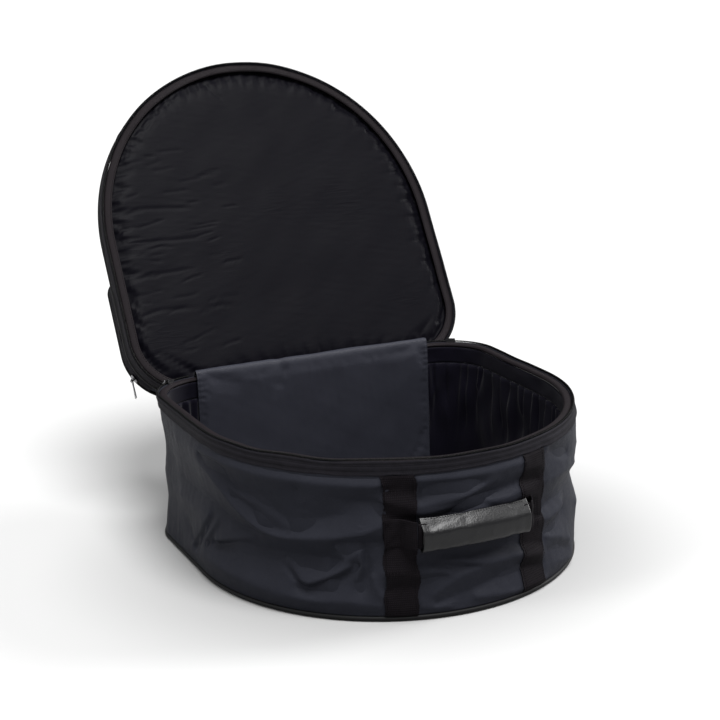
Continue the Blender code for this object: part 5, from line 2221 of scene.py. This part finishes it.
@dataclass
class Pocket(LidPart):
    """The accessory pocket on the lid, with its zip and its folding panel.

    Attributes:
        half_width: Half its width.
        front: Y of its front edge.
        back: Y of its back edge.
        back_radius: Radius of its back corners.
        front_radius: Radius of its front corners.
        zip_free: Angle of each back corner that the zip leaves free.
        gusset: Heights of the gusset's edges.
        tape_low: Height of the zip tape's lower edge.
        tape_rows: Heights of the stitches on the tape.
        coil_height: Height of the middle of its zip's coil.
        piping_height: Height of the piping's middle.
        panel: Heights of its panel's faces.
        panel_inset: How far its panel's edge stays inside the outline.
    """

    half_width: float = 0.240
    front: float = 0.0335
    back: float = 0.2135
    back_radius: float = 0.070
    front_radius: float = 0.022
    zip_free: float = math.radians(38.6)
    gusset: tuple[float, float] = (0.2258, 0.2588)
    tape_low: float = 0.2438
    tape_rows: tuple[float, float] = (0.2455, 0.2545)
    coil_height: float = 0.2606
    piping_height: float = 0.2646
    panel: tuple[float, float] = (0.2634, 0.2658)
    panel_inset: float = 0.0025

    def __post_init__(self) -> None:
        """Lays out the pocket's outline."""
        self.track = pocket_track(self.half_width, self.front, self.back, self.back_radius, self.front_radius)
        self.soft = Ripple(101, 0.10, 0.035, (1.0, 1.0, 1.6))
        self.crinkle = Ripple(102, 0.026, 0.010, (1.0, 1.0, 1.2), 26)

    def build(self) -> None:
        """Builds every piece of the pocket."""
        self.edge()
        self.outside()

    def edge(self) -> None:
        """The gusset, the zip with its stitches, and the piping."""
        track = self.track
        folds = (
            Crease(((-0.62, 0.236), (-0.53, 0.246), (-0.46, 0.238)), -0.0026, 0.006, 0.008),
            Crease(((-0.44, 0.243), (-0.38, 0.233), (-0.33, 0.240)), -0.0026, 0.006, 0.008),
            Crease(((0.62, 0.240), (0.54, 0.232), (0.47, 0.244)), -0.0026, 0.006, 0.008),
            Crease(((0.42, 0.234), (0.36, 0.246), (0.31, 0.238)), -0.0024, 0.006, 0.008),
            Crease(((-0.15, 0.240), (-0.02, 0.232), (0.12, 0.242)), -0.0022, 0.006, 0.008),
        )

        def sag(along: Array, offset: Array, z: Array) -> tuple[Array, Array, Array]:
            """The gusset sags and folds between the lid and the zip."""
            place = track.points(along, 0.0, z)
            lift = 0.0009 * self.soft.at(place) + 0.0003 * self.crinkle.at(place)
            lift = soft_limit(lift + sum(fold.lift(along, z) for fold in folds), 0.0035, 0.0022)
            return along, offset + lift * between(z, self.gusset[0], 0.2600, 0.006, 0.010), z

        profile = section(0, -0.0018, *self.gusset, 18)
        gusset = band("pocket_gusset_cloth", track, all_round(track, 620), profile, sag, True)
        self.keep(gusset, Slot.NYLON, ["pocket_gusset"])
        straight = self.half_width - self.back_radius
        reach = track.length / 2 - straight - self.back_radius * self.zip_free
        tape = band("pocket_zip_tape_band", track, np.linspace(-reach, reach, 420),
                    section(*TAPE_FACES, self.tape_low, self.gusset[1], 8), sag)
        self.keep(tape, Slot.TAPE, ["pocket_zip_tape"])
        line = track.points(np.linspace(-reach, reach, 700), COIL_OFFSET, self.coil_height)
        self.keep(self.threads.coil("pocket_zip_teeth", line), Slot.COIL, ["pocket_zip_coil"])
        line = track.points(all_round(track, 520), 0.0, self.piping_height)
        cord = tube("pocket_piping_cord", line, 0.0022, 10, True)
        self.keep(cord, Slot.PIPING, ["pocket_piping"], "pocket_flap")
        span = np.linspace(-reach + 0.002, reach - 0.002, 600)
        rows = [track.points(*sag(span, np.full(600, 0.0016), np.full(600, height)))
                for height in self.tape_rows]
        self.keep(self.threads.rows("pocket_stitches", rows, Slot.TAPE), Slot.TAPE)

    def outside(self) -> None:
        """The pocket's outer panel, blown up a little by what it holds."""
        pad = Pillow(self.track.points(all_round(self.track, 200), -self.panel_inset, 0.0)[:, :2], cap=0.0045)
        waves = Ripple(111, 0.11, 0.04)
        fine = Ripple(112, 0.028, 0.011, waves=24)
        edge = Gathers(113, 0.014, 0.0007, 0.022)
        folds = (
            Crease(((-0.20, 0.10), (-0.13, 0.13), (-0.05, 0.12)), -0.0020, 0.008, 0.012),
            Crease(((0.06, 0.09), (0.12, 0.11), (0.20, 0.10)), -0.0020, 0.008, 0.012),
            Crease(((-0.06, 0.17), (0.02, 0.15), (0.09, 0.17)), -0.0016, 0.008, 0.012),
        )

        def face(px: Array, py: Array) -> Array:
            """Height of the panel's cloth."""
            along, inward = self.track.nearest(px, py)
            inward = np.clip(inward - self.panel_inset, 0, None)
            lift = 0.0007 * waves.over(px, py) + 0.0003 * fine.over(px, py)
            lift = lift + sum(f.lift(px, py) for f in folds) + edge.lift(along, inward)
            return self.panel[1] + np.maximum(pad.rise(px, py) + lift * ease(inward / 0.010), -0.0008)

        panel = disc("pocket_panel_cloth", self.track, self.panel_inset, level(self.panel[0]), face, 520,
                     ring_shares(42, 1.5))
        self.keep(panel, Slot.NYLON, ["pocket_panel"], "pocket_flap")


@dataclass
class ZipHardware:
    """The sliders and pulls, which keep the frame's own shapes.

    Attributes:
        places: Where they are, as their names start.
    """

    places: tuple[str, ...] = ("left", "right", "pocket")

    def dress(self) -> None:
        """Gives each one its metal."""
        for name in (f"{place}_zip_{part}" for place in self.places for part in ("slider", "pull")):
            node = frame["nodes"][name]
            node.data.materials.clear()
            node.data.materials.append(WARDROBE.material(Slot.METAL))
            log.info("%-26s %-13s kept from the frame", name, Slot.METAL.value)


@dataclass
class Studio:
    """The floor, the lights and the camera.

    Attributes:
        camera_place: Where the camera stands.
        look: Where it looks.
        roll: How far it is tilted, in degrees.
        focal_share: Its focal length as a share of the picture's width.
        sensor: Width of its sensor in millimetres.
        shift: How far its picture is shifted.
        floor_half: Half the floor's width.
        room: Brightness of the room.
        soft_lights: Each light's name, the side it shines from, its spread in degrees and its power.
    """

    camera_place: tuple[float, float, float] = (-0.8549, -1.8935, 0.8052)
    look: tuple[float, float, float] = (0.3925, 0.8830, -0.2574)
    roll: float = -1.80
    focal_share: float = 1704 / 720
    sensor: float = 36.0
    shift: tuple[float, float] = (-0.0101, -0.0064)
    floor_half: float = 60.0
    room: float = 0.40
    soft_lights: tuple[tuple[str, tuple[float, float, float], float, float], ...] = (
        ("left_light", (-0.90, 0.05, 0.60), 20.0, 1.3),
        ("right_light", (0.95, -0.05, 0.50), 20.0, 3.6),
        ("top_light", (0.08, -0.42, 1.00), 34.0, 6.3),
    )

    def build(self) -> None:
        """Sets up the studio."""
        self.floor()
        self.lights()
        self.camera()

    def floor(self) -> None:
        """A pale floor with a painted shadow: its colour darkens within about half a metre of the bag."""
        kit = ShaderKit("floor_paper_painted_shadow")
        place = kit.coordinates(False)
        away = kit.value("ShaderNodeVectorMath", {"operation": "LENGTH"}, {0: place}, "Value")
        away = away + 0.05 * kit.noise(place, 0.5, 2.0)
        # Painted shadow: darkest within 0.22 metres of the middle of the bag, pale from 0.5 metres out, with a
        # soft noisy edge.
        tone = kit.value("ShaderNodeMapRange", {"interpolation_type": "SMOOTHSTEP"},
                         {"Value": away, "From Min": 0.22, "From Max": 0.50})
        colour = kit.blend(tone, (0.245, 0.245, 0.245), (0.380, 0.380, 0.380))
        shader = kit.node("ShaderNodeBsdfPrincipled", None, {"Base Color": colour, "Roughness": 0.85,
                                                             "Specular IOR Level": 0.1})
        out = kit.node("ShaderNodeOutputMaterial")
        kit.tree.links.new(shader.outputs[0], out.inputs["Surface"])
        r, under = self.floor_half, -0.0002
        mesh = bpy.data.meshes.new("studio_floor")
        mesh.from_pydata([(-r, -r, under), (r, -r, under), (r, r, under), (-r, r, under)], [], [(0, 1, 2, 3)])
        mesh.materials.append(kit.material)
        obj = bpy.data.objects.new("studio_floor", mesh)
        bpy.context.scene.collection.objects.link(obj)

    def lights(self) -> None:
        """A dim white room with wide soft lights from the left, the right and above."""
        world = bpy.data.worlds.new("studio_room")
        world.use_nodes = True
        glow = world.node_tree.nodes["Background"].inputs
        glow["Color"].default_value, glow["Strength"].default_value = (1.0, 1.0, 1.0, 1.0), self.room
        bpy.context.scene.world = world
        for name, place, spread, power in self.soft_lights:
            light = bpy.data.lights.new(name, "SUN")
            light.angle = math.radians(spread)
            light.energy = power
            obj = bpy.data.objects.new(name, light)
            obj.rotation_euler = (-Vector(place)).to_track_quat("-Z", "Y").to_euler()
            bpy.context.scene.collection.objects.link(obj)

    def camera(self) -> None:
        """The camera at the photograph's place."""
        data = bpy.data.cameras.new("camera")
        data.sensor_width = self.sensor
        data.lens = self.sensor * self.focal_share
        data.shift_x, data.shift_y = self.shift
        data.clip_start, data.clip_end = 0.05, 50
        forward = Vector(self.look).normalized()
        right = forward.cross(Vector((0, 0, 1))).normalized()
        up = right.cross(forward)
        c, s = math.cos(math.radians(self.roll)), math.sin(math.radians(self.roll))
        right, up = c * right + s * up, c * up - s * right
        turn = Matrix((right, up, -forward)).transposed().to_4x4()
        obj = bpy.data.objects.new("camera", data)
        obj.matrix_world = Matrix.Translation(Vector(self.camera_place)) @ turn
        bpy.context.scene.collection.objects.link(obj)
        bpy.context.scene.camera = obj
        bpy.context.scene.view_settings.view_transform = "Standard"


def lid_turn() -> Matrix:
    """The turn that opens the lid from the place where its pieces are shaped."""
    joint = next(j for j in frame["joints"] if j["name"] == "lid_hinge")
    place = Vector(joint["pos_m"])
    angle = math.radians(joint["range_deg"][1])
    axis = -Vector(joint["axis"])
    return Matrix.Translation(place) @ Matrix.Rotation(angle, 4, axis) @ Matrix.Translation(-place)


def main() -> None:
    """Builds the bag piece by piece."""
    logging.basicConfig(level=logging.INFO, format="%(name)s: %(message)s")
    threads = Threads()
    turn = lid_turn()
    bag = BagBody(threads)
    bag.build()
    CarryHandle(threads).build()
    pad = Lid(threads, turn, bag).build()
    bag.floor_pad(pad.rise)
    Pocket(threads, turn).build()
    ZipHardware().dress()
    Studio().build()


if __name__ == "__main__":
    main()
